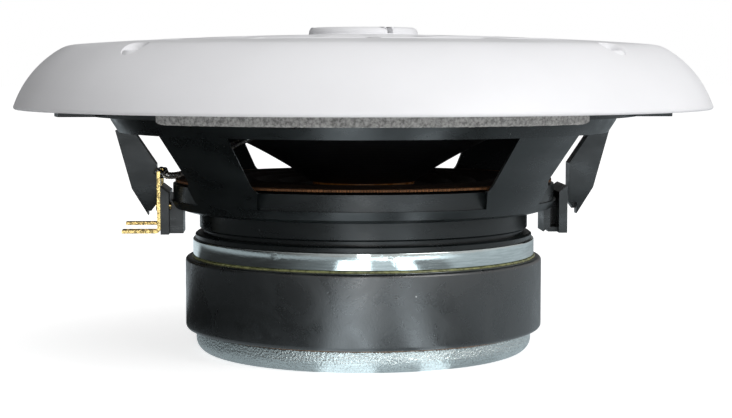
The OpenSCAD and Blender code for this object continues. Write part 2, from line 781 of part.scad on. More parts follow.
module grille_screws() {
    color("silver") ear_screw_places() translate([0, 0, flange_z]) {
        cylinder(h = ear_screw_head_h - 0.1, r1 = ear_screw_head_r, r2 = ear_screw_r, $fn = small);
        cylinder(h = ear_screw_l, r = ear_screw_r, $fn = small);
    }
}

module mounting_gasket() {
    lip_t = 0.7;
    lip_clear = 0.05;
    color("gray") intersection() {
        union() {
            translate([0, 0, flange_z - gasket_t]) ring(flange_r + lip_t, flange_r - gasket_w, gasket_t);
            translate([0, 0, flange_z - gasket_t])
                ring(flange_r + lip_t, flange_r + lip_clear, front_rim_z - flange_z + gasket_t);
        }
        for (a = [-90, 90]) rotate(a) linear_extrude(height = ledge_z) polygon([
            [0, 0], [ear_r, -ear_r * tan(gasket_half)], [ear_r, ear_r * tan(gasket_half)]]);
    }
}

// Tweeter

module tweeter_post() {
    seat_h = 1.8;
    bore = 1.6;
    color("darkgray") difference() {
        union() {
            cylinder(h = stack_z, r = pole_hole_r - eps * 5, $fn = small);
            translate([0, 0, stack_z]) cylinder(h = seat_h, r = pole_r - 2.5, $fn = small);
            translate([0, 0, stack_z]) cylinder(h = cup_z - stack_z, r = post_r, $fn = small);
        }
        translate([0, 0, -eps]) cylinder(h = cup_z + 2 * eps, r = bore, $fn = small);
    }
}

module tweeter_cup() {
    color("silver") translate([0, 0, cup_z]) difference() {
        cylinder(h = cup_h, r = cup_bore_r + cup_t, $fn = smooth);
        translate([0, 0, cup_t]) cylinder(h = cup_h, r = cup_bore_r, $fn = smooth);
    }
}

module tweeter_magnet() {
    color("lightgray") translate([0, 0, cup_z + cup_t])
        cylinder(h = cup_h - cup_t - tweeter_pole_t, r = tweeter_pole_r - 0.6, $fn = smooth);
}

module tweeter_pole() {
    color("silver") translate([0, 0, cup_z + cup_h - tweeter_pole_t])
        cylinder(h = tweeter_pole_t - 0.3, r = tweeter_pole_r, $fn = smooth);
}

module tweeter_plate() {
    z = film_z + film_t;
    lip = cup_bore_r + 0.9;
    color([0.2, 0.2, 0.2]) turned([
        [lip, z], [tweeter_r, z], [tweeter_r, z + tweeter_t - 0.8], [tweeter_r - 0.8, z + tweeter_t],
        [lip + 2.4, z + tweeter_t], [lip, z + 0.9]]);
}

// Half wave of film between the dome and the cup's rim
module tweeter_film() {
    mid = (dome_r + cup_bore_r + 0.6) / 2;
    half = mid - dome_r - 0.05;
    foot = 20;
    color("dimgray") turned(concat(
        [[dome_r + 0.05, film_z]], arc(mid, film_z, half - film_t, 180, 0, 6),
        [[cup_bore_r + cup_t, film_z], [cup_bore_r + cup_t, film_z + film_t]],
        arc(mid, film_z, half, foot, 180 - foot, 6), [[dome_r + 0.05, film_z + film_t]]));
}

module tweeter_dome() {
    t = 0.2;
    ball = (dome_r * dome_r + dome_h * dome_h) / (2 * dome_h);
    top = [for (i = [0:8]) let (r = dome_r * i / 8)
        [r, film_z + t + dome_h - ball + sqrt(ball * ball - r * r)]];
    color("lightslategray") turned(concat([for (p = top) p + [0, t]], [[dome_r, film_z]],
        [[dome_r - tweeter_coil_t, film_z]], [for (i = [7:-1:0]) top[i]]));
}

module tweeter_coil() {
    color("chocolate") translate([0, 0, film_z - tweeter_coil_h])
        ring(dome_r, dome_r - tweeter_coil_t, tweeter_coil_h);
}

module tweeter_capacitor() {
    color("royalblue") translate([0, post_r + capacitor_r + 0.1, cup_z - capacitor_h])
        cylinder(h = capacitor_h, r = capacitor_r, $fn = small);
}

front_grille();
grille_screws();
mounting_gasket();
clamp_ring();
basket();
basket_screws();
terminal_wide();
terminal_narrow();
terminal_rivets();
top_plate();
magnet();
glue_lines();
back_plate();
surround();
cone();
spider();
coil_former();
voice_coil();
lead_wide();
lead_narrow();
tweeter_post();
tweeter_cup();
tweeter_magnet();
tweeter_pole();
tweeter_plate();
tweeter_film();
tweeter_dome();
tweeter_coil();
tweeter_capacitor();
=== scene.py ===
"""Round two-way boat loudspeaker, standing on the back of its magnet.

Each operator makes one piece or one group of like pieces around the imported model. Lengths are in metres. The
front faces +Z, the terminals are on -X and the origin is the centre of the back plate's rear face.
"""

import math

import bmesh
import bpy
import numpy as np
from bpy.props import FloatProperty, FloatVectorProperty, IntProperty, PointerProperty
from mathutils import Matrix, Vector


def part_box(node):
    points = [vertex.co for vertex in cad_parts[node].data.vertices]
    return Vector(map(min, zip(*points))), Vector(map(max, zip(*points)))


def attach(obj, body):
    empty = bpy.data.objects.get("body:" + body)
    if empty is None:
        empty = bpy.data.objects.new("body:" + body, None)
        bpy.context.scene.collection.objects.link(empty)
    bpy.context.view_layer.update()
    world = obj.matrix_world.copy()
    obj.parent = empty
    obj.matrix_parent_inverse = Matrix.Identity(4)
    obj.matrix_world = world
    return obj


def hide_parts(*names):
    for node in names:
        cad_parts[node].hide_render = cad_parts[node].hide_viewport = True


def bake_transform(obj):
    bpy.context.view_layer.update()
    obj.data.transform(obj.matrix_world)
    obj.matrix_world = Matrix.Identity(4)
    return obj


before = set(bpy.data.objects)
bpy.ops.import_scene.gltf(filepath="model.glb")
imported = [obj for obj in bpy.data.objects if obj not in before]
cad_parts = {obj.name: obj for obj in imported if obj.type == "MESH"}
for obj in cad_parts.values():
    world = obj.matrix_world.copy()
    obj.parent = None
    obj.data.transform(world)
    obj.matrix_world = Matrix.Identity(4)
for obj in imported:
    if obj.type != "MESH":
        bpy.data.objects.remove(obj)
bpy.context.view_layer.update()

bl_info = {
    "name": "Boat loudspeaker",
    "version": (1, 0, 0),
    "blender": (4, 5, 0),
    "location": "View3D > Sidebar > Loudspeaker",
    "description": "Builds a round two-way boat loudspeaker around its packed model",
    "category": "Object",
}

TURN = 2 * math.pi
SAME_POINT = 2e-7  # points of a new surface that lie closer are merged
SAME_CORNER = 1e-6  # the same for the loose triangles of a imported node
FLAT = math.radians(0.4)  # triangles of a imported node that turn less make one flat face


# Sizes and colours that a user would change


def length(name, text, value):
    """A length in metres, as a property of a panel."""
    return FloatProperty(name=name, description=text, default=value, min=0, unit="LENGTH", precision=5)


def colour(name, text, value):
    """A linear colour, as a property of a panel."""
    return FloatVectorProperty(name=name, description=text, default=value, subtype="COLOR", size=3,
        min=0, max=1)


def share(name, text, value):
    """A number from 0 to 1, as a property of a panel."""
    return FloatProperty(name=name, description=text, default=value, min=0, max=1, subtype="FACTOR")


def amount(name, text, value):
    """A number from 0 up, as a property of a panel."""
    return FloatProperty(name=name, description=text, default=value, min=0)


def whole(name, text, value, least, most):
    """A whole number, as a property of a panel."""
    return IntProperty(name=name, description=text, default=value, min=least, max=most)


def bearing(name, text, degrees):
    """An angle, as a property of a panel."""
    return FloatProperty(name=name, description=text, default=math.radians(degrees), subtype="ANGLE",
        unit="ROTATION")


def power(name, text, watts):
    """A lamp's power, as a property of a panel."""
    return FloatProperty(name=name, description=text, default=watts, min=0, unit="POWER")


def low(node):
    """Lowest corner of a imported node."""
    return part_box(node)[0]


def high(node):
    """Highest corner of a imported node."""
    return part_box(node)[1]


class FrontSizes(bpy.types.PropertyGroup):
    """Sizes of the white front moulding."""

    outer_r: length("Outer radius", "Radius of the front's outer edge", high("front_grille").x)
    rim_z: length("Rim height", "Height of the front's lower edge", low("front_grille").z)
    rim_round: length("Rim rounding", "Rounding of the front's lower edge", 0.0006)
    wall: length("Wall", "Wall of the front moulding", 0.0026)
    flank_r: length("Flank radius", "Radius of the rounded flank", 0.0261)
    flank_in: length("Flank inset", "Distance of the flank's centre inside the outer edge", 0.0248)
    flank_z: length("Flank centre", "Height of the flank's centre", 0.0531)
    crown_z: length("Crown height", "Height of the crown at the middle", 0.0792)
    crown_r: length("Crown radius", "Radius of the crown's curve", 1.02)
    shoulder_soft: length("Shoulder", "How softly the crown runs into the flank", 0.0003)
    open_in: length("Open inset", "Distance of the open grille inside the outer edge", 0.028)
    bar_t: length("Bar thickness", "Thickness of the grille bars", 0.0024)
    slot_gap: length("Slot width", "Width of each ring slot", 0.0066)
    ring_bar_w: length("Ring bar", "Width of each ring bar", 0.0032)
    spoke_w: length("Spoke", "Width of each spoke", 0.003)
    slot_round: length("Slot corners", "Rounding of the slots' corners", 0.0009)
    slot_edge: length("Slot edges", "Rounding of the slots' upper edges", 0.0006)
    spokes: whole("Spokes", "Number of spokes in each ring", 12, 8, 16)
    rings: whole("Slot rings", "Number of slot rings", 4, 1, 4)
    boss_r: length("Boss radius", "Radius of the boss over the tweeter", 0.0137)
    boss_round: length("Boss rounding", "Rounding of the boss's edge", 0.0015)
    boss_slot_w: length("Boss slots", "Width of the slots that run in from the boss's edge", 0.0015)
    boss_slot_l: length("Boss slot length", "Length of the slots that run in from the boss's edge", 0.0032)
    boss_gap: length("Boss ring slots", "Width of the ring slots in the boss", 0.0016)
    boss_bar_w: length("Boss bars", "Width of the bars in the boss", 0.0016)
    boss_edge: length("Boss slot edges", "Rounding of the edges of the boss's slots", 0.0003)
    boss_wall: length("Boss wall", "Thickness of the boss's wall", 0.002)
    boss_roof: length("Boss top", "Thickness of the boss's top", 0.0016)
    boss_bars: whole("Boss bars", "Number of bars across a ring slot of the boss", 5, 4, 6)
    screw_in: length("Screw inset", "Distance of the mounting screws inside the outer edge", 0.012)
    screw_hole_r: length("Screw hole", "Radius of the mounting screw holes", 0.0024)
    screw_sink_r: length("Countersink", "Radius of the countersink at the surface", 0.003)
    screw_boss_t: length("Screw boss", "Wall of the tubes around the screw holes", 0.002)
    rib_in: length("Clamp rib", "Radius of the rib's inner face, which presses on the surround", 0.0647)
    rib_out: length("Clamp rib edge", "Radius of the rib's outer face", 0.0676)
    rib_z: length("Clamp rib foot", "Height of the rib's lower edge", 0.0638)
    ear_tube_r: length("Ear tube", "Radius of the tubes over the ears' screws", 0.0036)
    ear_head_r: length("Ear screw head", "Radius of the ears' screw heads", 0.0028)
    ear_bore_r: length("Ear tube bore", "Radius of the bore that an ear's screw bites into", 0.00145)
    rib_cover: length("Rib cover", "Wall left between a rib or tube and the front's face", 0.0012)


class MotorSizes(bpy.types.PropertyGroup):
    """Sizes of the magnet stack's finish."""

    plate_round: length("Back plate rounding", "Rounding of the back plate's lower edge", 0.0032)
    plate_edge: length("Plate edges", "Small rounding on the plates' cut edges", 0.0004)
    magnet_edge: length("Magnet edges", "Rounding of the magnet's edges", 0.001)
    bead: length("Glue bead", "How far the glue bead stands out at most", 0.0003)
    pole_r: length("Pole radius", "Radius of the pole", 0.0123)
    pole_hole_r: length("Pole hole", "Radius of the hole down the pole", 0.004)
    pole_edge: length("Pole edges", "Small rounding on the pole's edges", 0.0003)
    magnet_bore: length("Magnet bore", "Radius of the hole in the magnet", 0.022)
    glue_bore: length("Glue bore", "Inner radius of the glue", 0.023)
    coil_gap: length("Coil gap", "Gap between the voice coil and the top plate", 0.00045)


class ConeSizes(bpy.types.PropertyGroup):
    """Sizes of the cone and its suspension."""

    cone_t: length("Cone wall", "Wall of the cone", 0.0006)
    lip_w: length("Cone lip", "Width of the cone's flat lip", 0.0032)
    bulge: length("Cone bulge", "Bulge of the cone above a straight line", 0.0024)
    neck_z: length("Cone neck", "Height of the cone's neck", 0.0424)
    roll_r: length("Roll radius", "Radius of the surround's half roll", 0.003)
    surround_t: length("Surround", "Thickness of the surround", 0.0006)
    spider_t: length("Spider cloth", "Thickness of the spider's cloth", 0.0005)
    spider_wave: length("Spider waves", "Height of the spider's waves", 0.0009)
    spider_waves: whole("Waves", "Number of waves in the spider", 5, 3, 7)
    spider_collar: length("Spider collar", "Flat width of the spider at the coil", 0.001)
    spider_rim: length("Spider rim", "Flat width of the spider at its glued edge", 0.0036)
    spider_drop: length("Spider drop", "How far the spider's collar lies under the cone's neck", 0.0016)
    lead_r: length("Lead radius", "Radius of the braided leads", 0.0005)
    braid: length("Braid relief", "Relief of the braid on the leads", 0.00009)
    braid_step: length("Braid step", "Length of the braid's pattern along a lead", 0.0016)
    strands: whole("Strands", "Number of strands round a lead", 8, 4, 16)


class GasketSizes(bpy.types.PropertyGroup):
    """Sizes of the foam strips."""

    width: length("Strip width", "Width of a strip under the flange", 0.0053)
    thick: length("Strip thickness", "Thickness of a strip under the flange", 0.001)
    lip: length("Lip", "Thickness of the lip that stands up outside the flange", 0.0007)
    skin: length("Skin", "Depth of the foam's uneven skin", 0.00003)
    taper: bearing("Taper", "Angle over which a strip's ends taper off", math.degrees(0.03))


class TweeterSizes(bpy.types.PropertyGroup):
    """Sizes of the tweeter and its post."""

    cup_floor: length("Cup floor", "Thickness of the motor cup's floor", 0.0019)
    cup_bore: length("Cup bore", "Radius inside the motor cup", 0.0071)
    face_bore: length("Face opening", "Radius of the opening in the face plate", 0.008)
    face_lip: length("Face lip", "Height of the face plate at its opening", 0.0009)
    face_flare: length("Face flare", "Width of the slanted rim round the opening", 0.0024)
    film_t: length("Film", "Thickness of the dome and its film", 0.0002)
    roll_out: length("Film roll", "Outer radius of the film's half wave", 0.0077)
    post_bore: length("Post bore", "Radius of the hole down the post", 0.0016)
    post_r: length("Post", "Radius of the post", 0.0046)
    foot_r: length("Post foot", "Radius of the post's foot in the pole's hole", 0.00395)
    seat_r: length("Seat", "Radius of the post's seat on the pole", 0.0098)
    seat_t: length("Seat thickness", "Thickness of the post's seat", 0.0018)


class Finishes(bpy.types.PropertyGroup):
    """Colours and gloss of the finishes."""

    white: colour("White plastic", "Colour of the front moulding", (0.84, 0.84, 0.86))
    black: colour("Black plastic", "Colour of the basket", (0.0045, 0.0062, 0.0064))
    foam: colour("Grey foam", "Colour of the gasket", (0.40, 0.40, 0.39))
    zinc: colour("Zinc", "Colour of the plated steel", (0.72, 0.78, 0.77))
    ferrite: colour("Ferrite", "Colour of the magnet", (0.007, 0.009, 0.0095))
    glue: colour("Upper glue", "Colour of the glue under the top plate", (0.30, 0.31, 0.13))
    glue_low: colour("Lower glue", "Colour of the glue over the back plate", (0.30, 0.17, 0.10))
    brass: colour("Brass", "Colour of the terminals", (0.83, 0.60, 0.24))
    cloth: colour("Resin cloth", "Colour of the spider", (0.24, 0.10, 0.035))
    white_gloss: share("White roughness", "Roughness of the front moulding", 0.42)
    black_gloss: share("Black roughness", "Roughness of the basket", 0.28)
    zinc_gloss: share("Zinc roughness", "Roughness of the plated steel", 0.08)
    ferrite_gloss: share("Ferrite roughness", "Roughness of the magnet", 0.27)


class StageSizes(bpy.types.PropertyGroup):
    """The camera, floor and lamps."""

    distance: length("Camera distance", "Distance of the camera from the axis", 0.4449)
    height: length("Camera height", "Height of the camera above the floor", 0.0711)
    around: bearing("Camera angle", "Angle of the camera round the axis, towards -X", 2.8)
    pitch: bearing("Camera pitch", "How far the camera looks down", 4.61)
    swing: bearing("Camera swing", "How far the camera looks right of the axis", 0.085)
    lens: FloatProperty(name="Lens", description="Focal length in millimetres", default=86.44, min=1)
    key: power("Key lamp", "Power of the key lamp", 6.5)
    top: power("Top lamp", "Power of the top lamp", 1.4)
    front: power("Front lamp", "Power of the strip by the camera", 1.5)
    sky: amount("Bright side", "Strength of the sky in front on the right", 0.62)
    sky_dim: amount("Dim side", "Strength of the sky on the left", 0.02)
    floor_white: amount("Floor", "How far the floor shows white to the camera", 0.72)
    windows: amount("Windows", "Strength of the brightest band that gloss sees", 2.5)
    near_floor: share("Near floor", "How pale the floor close to the object looks in gloss", 0.65)


# Surfaces


def rounded(corners, steps=6, closed=False):
    """Outline through corners (x, y, radius). At each corner an arc of that radius touches both sides. Its
    centre lies on the corner's bisector, at radius over the sine of half the corner's angle, and it runs from
    one touching point to the other by equal steps of angle."""
    c = np.asarray(corners, float)
    before, after = np.roll(c, 1, 0), np.roll(c, -1, 0)
    to_before = before[:, :2] - c[:, :2]
    to_after = after[:, :2] - c[:, :2]
    u = to_before / np.maximum(np.linalg.norm(to_before, axis=1, keepdims=True), 1e-12)
    v = to_after / np.maximum(np.linalg.norm(to_after, axis=1, keepdims=True), 1e-12)
    half = np.arccos(np.clip((u * v).sum(1), -1, 1)) / 2
    radius = np.where(half > 1e-4, c[:, 2], 0)
    half = np.clip(half, 1e-4, math.pi / 2 - 1e-5)
    reach = (radius / np.tan(half))[:, None]
    bisector = u + v
    bisector /= np.maximum(np.linalg.norm(bisector, axis=1, keepdims=True), 1e-12)
    centre = c[:, :2] + bisector * (radius / np.sin(half))[:, None]
    start, end = c[:, :2] + u * reach - centre, c[:, :2] + v * reach - centre
    span = (math.pi - 2 * half)[:, None, None]
    s = np.linspace(0, 1, steps + 1)[None, :, None]
    bend = (np.sin((1 - s) * span) * start[:, None] + np.sin(s * span) * end[:, None]) / np.sin(span)
    arcs = np.where(radius[:, None, None] > 0, centre[:, None] + bend, c[:, None, :2])
    if not closed:
        arcs[0], arcs[-1] = c[0, :2], c[-1, :2]
    points = arcs.reshape(-1, 2)
    keep = np.linalg.norm(points - np.roll(points, 1, 0), axis=1) > 1e-8
    keep[0] = True
    return points[keep]


def quads(rows, columns, wrap_rows=False, wrap_columns=True):
    """Faces of a grid of points, each between two rows and two columns."""
    i = np.arange(rows if wrap_rows else rows - 1)[:, None]
    j = np.arange(columns if wrap_columns else columns - 1)[None, :]
    i2, j2 = (i + 1) % rows, (j + 1) % columns
    corners = [i * columns + j, i2 * columns + j, i2 * columns + j2, i * columns + j2]
    return np.stack(corners, -1).reshape(-1, 4)


def fan(hub, rim):
    """Triangles from one point to every step of a closed loop, all points given by their numbers."""
    hubs = np.full(len(rim), hub)
    return np.stack([hubs, rim, np.roll(rim, -1), hubs], -1)


def turned(outline, segments=256, closed=True, wave=None):
    """Surface of revolution: the outline's point (r, z) at angle a lies at (r cos a, r sin a, z). wave(a, r)
    gives radii to add, where the real edge isn't even."""
    a = np.arange(segments) * TURN / segments
    r, z = np.asarray(outline)[:, 0][:, None], np.asarray(outline)[:, 1][:, None]
    r = r + (wave(a[None, :], r) if wave else 0 * a)
    points = np.stack([r * np.cos(a), r * np.sin(a), z + 0 * r], -1)
    return points.reshape(-1, 3), quads(len(outline), segments, wrap_rows=closed)


def ring_of(inner, outer, bottom, top, edge=0.0002, segments=192, steps=3):
    """A flat ring: a rectangle with rounded corners, turned about the axis."""
    corners = [(inner, bottom, edge), (outer, bottom, edge), (outer, top, edge), (inner, top, edge)]
    return turned(rounded(corners, steps, closed=True), segments)


def disc_of(outer, bottom, top, edge=0.0002, segments=96, steps=3):
    """A solid disc: half a rectangle with rounded corners, turned about the axis."""
    corners = [(0, bottom, 0), (outer, bottom, edge), (outer, top, edge), (0, top, 0)]
    return turned(rounded(corners, steps), segments, closed=False)


def moved(surface, shift):
    """The same surface at another place."""
    return surface[0] + np.asarray(shift, float), surface[1]


def tube(path, radius, relief, sides=32):
    """A tube along a path: at each point a circle of the radius stands square to the path. Its own axes come
    from one upright direction, so it doesn't twist. relief(s, a) adds to the radius at run s and angle a."""
    along = np.gradient(path, axis=0)
    along /= np.linalg.norm(along, axis=1, keepdims=True)
    side = np.cross(along, (0.3, 1.0, 0.1))
    side /= np.linalg.norm(side, axis=1, keepdims=True)
    up = np.cross(side, along)
    run = np.concatenate([[0], np.cumsum(np.linalg.norm(np.diff(path, axis=0), axis=1))])
    a = np.arange(sides) * TURN / sides
    r = radius + relief(run[:, None], a[None, :])
    cosine, sine = np.cos(a)[None, :, None], np.sin(a)[None, :, None]
    rings = path[:, None] + r[..., None] * (cosine * side[:, None] + sine * up[:, None])
    points = np.concatenate([rings.reshape(-1, 3), path[:1], path[-1:]])
    j, hub = np.arange(sides), len(path) * sides
    caps = [fan(hub, j), fan(hub + 1, hub - sides + j[::-1])]
    return points, np.concatenate([quads(len(path), sides), *caps])


def smooth_route(points, steps=24):
    """Curve through chosen points: between two of them a cubic takes its slope from their neighbours."""
    p = np.asarray(points, float)
    a, b = np.concatenate([p[:1], p[:-2]]), p[:-1]
    c, d = p[1:], np.concatenate([p[2:], p[-1:]])
    t = (np.arange(steps) / steps)[None, :, None]
    a, b, c, d = (x[:, None] for x in (a, b, c, d))
    curve = 0.5 * (2 * b + (c - a) * t + (2 * a - 5 * b + 4 * c - d) * t**2 + (3 * b - a - 3 * c + d) * t**3)
    return np.concatenate([curve.reshape(-1, 3), p[-1:]])


def lump(centre, radii, seed, rough, rows=24, columns=32):
    """A blob: an ellipsoid whose radius swells by a few sine waves of the two angles, their phases drawn from
    the seed."""
    t = np.linspace(0, math.pi, rows)[:, None]
    a = (np.arange(columns) * TURN / columns)[None, :]
    phases = np.random.default_rng(seed).uniform(0, TURN, (3, 2))
    waves = ((1, 2, 2), (0.6, 3, 3), (0.4, 5, 4))
    swell = 1 + rough * np.sin(t) * sum(height * np.sin(m * a + p) * np.sin(n * t + q)
        for (height, m, n), (p, q) in zip(waves, phases))
    ball = np.stack(np.broadcast_arrays(np.sin(t) * np.cos(a), np.sin(t) * np.sin(a), np.cos(t)), -1)
    points = swell[..., None] * ball * np.asarray(radii) + np.asarray(centre)
    return points.reshape(-1, 3), quads(rows, columns)


# Pieces


def piece(name, surfaces, finish, body="frame", stands_for=(), crease=32):
    """One mesh object from several surfaces: their points are merged where they meet, normals point outwards
    and edges sharper than the crease angle stay sharp. It rides on its body."""
    points, faces, count = [], [], 0
    for p, f in surfaces:
        points.append(p)
        faces.append(f + count)
        count += len(p)
    mesh = bpy.data.meshes.new(name)
    faces = [list(dict.fromkeys(f)) for f in np.concatenate(faces).tolist()]
    mesh.from_pydata(np.concatenate(points).tolist(), [], faces)
    work = bmesh.new()
    work.from_mesh(mesh)
    bmesh.ops.remove_doubles(work, verts=work.verts, dist=SAME_POINT)
    bmesh.ops.recalc_face_normals(work, faces=work.faces)
    work.to_mesh(mesh)
    work.free()
    return placed(name, mesh, finish, body, stands_for, crease)


def placed(name, mesh, finish, body, stands_for, crease):
    """The mesh as an object with its finish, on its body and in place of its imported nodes."""
    mesh.shade_smooth()
    mesh.set_sharp_from_angle(angle=math.radians(crease))
    mesh.materials.append(finish)
    obj = bpy.data.objects.new(name, mesh)
    bpy.context.scene.collection.objects.link(obj)
    if body:
        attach(obj, body)
    if stands_for:
        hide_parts(*stands_for)
    return obj


def softened(node, name, finish, edge, crease=32):
    """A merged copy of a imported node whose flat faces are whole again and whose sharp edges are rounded."""
    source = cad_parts[node].data
    points = np.empty(len(source.vertices) * 3)
    source.vertices.foreach_get("co", points)
    corners = np.empty(len(source.loops), int)
    source.loops.foreach_get("vertex_index", corners)
    mesh = bpy.data.meshes.new(name)
    mesh.from_pydata(points.reshape(-1, 3).tolist(), [], corners.reshape(-1, 3).tolist())
    work = bmesh.new()
    work.from_mesh(mesh)
    bmesh.ops.remove_doubles(work, verts=work.verts, dist=SAME_CORNER)
    bmesh.ops.dissolve_limit(work, angle_limit=FLAT, verts=work.verts, edges=work.edges)
    work.to_mesh(mesh)
    work.free()
    obj = placed(name, mesh, finish, "frame", [node], crease)
    bevel = obj.modifiers.new("Edges", "BEVEL")
    bevel.width = edge
    bevel.segments = 3
    bevel.limit_method = "ANGLE"
    bevel.angle_limit = math.radians(crease)
    bevel.harden_normals = True
    return obj


def dress(node, finish):
    """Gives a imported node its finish."""
    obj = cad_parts[node]
    obj.data.materials.clear()
    obj.data.materials.append(finish)


# Finishes


class Nodes:
    """A node tree that is filled one node at a time."""

    def __init__(self, tree):
        self.tree = tree
        tree.nodes.clear()

    def add(self, kind, options=None, **sockets):
        """A node of this kind. options are its own settings, and sockets are values or links by socket name,
        with _ for a space."""
        node = self.tree.nodes.new(kind)
        for key, value in (options or {}).items():
            setattr(node, key, value)
        for key, value in sockets.items():
            self.put(node, key.replace("_", " "), value)
        return node

    def put(self, node, key, value):
        """A value or a link for a node's socket, named or numbered."""
        socket = node.inputs[key]
        if isinstance(value, bpy.types.NodeSocket):
            self.tree.links.new(value, socket)
        elif hasattr(value, "__len__"):
            value = tuple(value)
            socket.default_value = value + (1.0,) if len(value) == 3 and socket.type == "RGBA" else value
        else:
            socket.default_value = value

    def span(self, value, low, high, to_low=0.0, to_high=1.0, smooth=True):
        """The value's range low to high, stretched to another range and held there."""
        kind = {"interpolation_type": "SMOOTHSTEP" if smooth else "LINEAR"}
        node = self.add("ShaderNodeMapRange", kind, Value=value)
        for key, number in zip(("From Min", "From Max", "To Min", "To Max"), (low, high, to_low, to_high)):
            self.put(node, key, number)
        return node.outputs["Result"]

    def sum(self, a, b, how="ADD"):
        """Two numbers added, or joined in another way."""
        node = self.add("ShaderNodeMath", {"operation": how})
        self.put(node, 0, a)
        self.put(node, 1, b)
        return node.outputs[0]

    def times(self, a, b):
        """The product of two numbers."""
        return self.sum(a, b, "MULTIPLY")

    def wave(self, run, step):
        """The sine of a run in metres, with one wave in each step."""
        return self.sum(self.times(run, TURN / step), 0, "SINE")

    def vector(self, how, a, b):
        """Two vectors joined."""
        node = self.add("ShaderNodeVectorMath", {"operation": how})
        self.put(node, 0, a)
        self.put(node, 1, b)
        return node.outputs

    def mix(self, portion, a, b, blend="MIX"):
        """A colour between a and b."""
        node = self.add("ShaderNodeMix", {"data_type": "RGBA", "blend_type": blend})
        self.put(node, 0, portion)
        self.put(node, 6, a)
        self.put(node, 7, b)
        return node.outputs[2]

    def grey(self, value):
        """The grey of this lightness."""
        return self.add("ShaderNodeCombineColor", Red=value, Green=value, Blue=value).outputs[0]


class Finish(Nodes):
    """A material. Its patterns read Object coordinates, in metres."""

    def __init__(self, name, **settings):
        self.material = bpy.data.materials.get(name) or bpy.data.materials.new(name)
        self.material.use_nodes = True
        super().__init__(self.material.node_tree)
        self.shader = self.add("ShaderNodeBsdfPrincipled", **settings)
        self.place = self.add("ShaderNodeTexCoord").outputs["Object"]
        self.add("ShaderNodeOutputMaterial", Surface=self.shader.outputs["BSDF"])

    def set(self, **sockets):
        """Values or links for the shader's own sockets."""
        for key, value in sockets.items():
            self.put(self.shader, key.replace("_", " "), value)
        return self

    def noise(self, size, detail=3.0, rough=0.5, stretch=(1, 1, 1), warp=0.0):
        """Cloudy pattern whose features are about size metres across, drawn out along an axis by stretch."""
        mapping = self.add("ShaderNodeMapping", Vector=self.place, Scale=tuple(1 / x for x in stretch))
        return self.add("ShaderNodeTexNoise", Vector=mapping.outputs[0], Scale=1 / size, Detail=detail,
            Roughness=rough, Distortion=warp).outputs["Fac"]

    def cells(self, size):
        """Distance to the nearest of scattered points about size metres apart."""
        return self.add("ShaderNodeTexVoronoi", Vector=self.place, Scale=1 / size).outputs["Distance"]

    def axes(self):
        """The three coordinates of the place, in metres."""
        return self.add("ShaderNodeSeparateXYZ", Vector=self.place).outputs

    def from_axis(self):
        """Distance from the upright axis, in metres."""
        flat = self.vector("MULTIPLY", self.place, (1, 1, 0))["Vector"]
        return self.add("ShaderNodeVectorMath", {"operation": "LENGTH"}, Vector=flat).outputs["Value"]

    def tinted(self, pattern, base, dark, light, low=0.3, high=0.7):
        """A colour between two shades of one base, by where the pattern lies between low and high."""
        return self.mix(self.span(pattern, low, high), shade(base, dark), shade(base, light))

    def relief(self, height, depth, strength):
        """Bump of a height pattern, depth metres deep."""
        return self.add("ShaderNodeBump", Height=height, Distance=depth, Strength=strength).outputs[0]


def shade(colour_value, factor):
    """The colour made lighter or darker."""
    return tuple(min(1.0, c * factor) for c in colour_value)


def white_plastic(f):
    """Satin moulded plastic: faint flow marks in its gloss, fine grain in its surface."""
    m = Finish("white_plastic", IOR=1.5)
    cloud = m.noise(0.02, 4)
    return m.set(Base_Color=m.tinted(cloud, f.white, 0.985, 1.01),
        Roughness=m.span(cloud, 0.3, 0.75, f.white_gloss - 0.05, f.white_gloss + 0.07),
        Normal=m.relief(m.noise(0.00035, 2), 0.00002, 0.5)).material


def black_plastic(f):
    """Black moulded plastic with a slight bluish sheen, flow marks and a few dust specks."""
    m = Finish("black_plastic", IOR=1.52)
    cloud = m.noise(0.012, 5, 0.6, stretch=(1, 1, 0.35))
    dust = m.span(m.cells(0.0045), 0.02, 0.035, 1, 0)
    return m.set(Base_Color=m.mix(dust, m.tinted(cloud, f.black, 0.8, 1.6), (0.10, 0.11, 0.11)),
        Roughness=m.span(cloud, 0.25, 0.75, f.black_gloss - 0.08, f.black_gloss + 0.14),
        Normal=m.relief(m.noise(0.0003, 3), 0.00003, 0.6)).material


def grey_foam(f):
    """Open foam: light and dark specks half a millimetre across over a rough surface."""
    m = Finish("grey_foam", Roughness=0.95, IOR=1.35)
    pores, fine = m.cells(0.0009), m.noise(0.00045, 4, 0.75)
    speck = m.sum(fine, m.times(pores, 0.35))
    return m.set(Base_Color=m.tinted(speck, f.foam, 1.35, 0.45, 0.45, 0.95),
        Normal=m.relief(m.sum(fine, pores, "SUBTRACT"), 0.0002, 0.7)).material


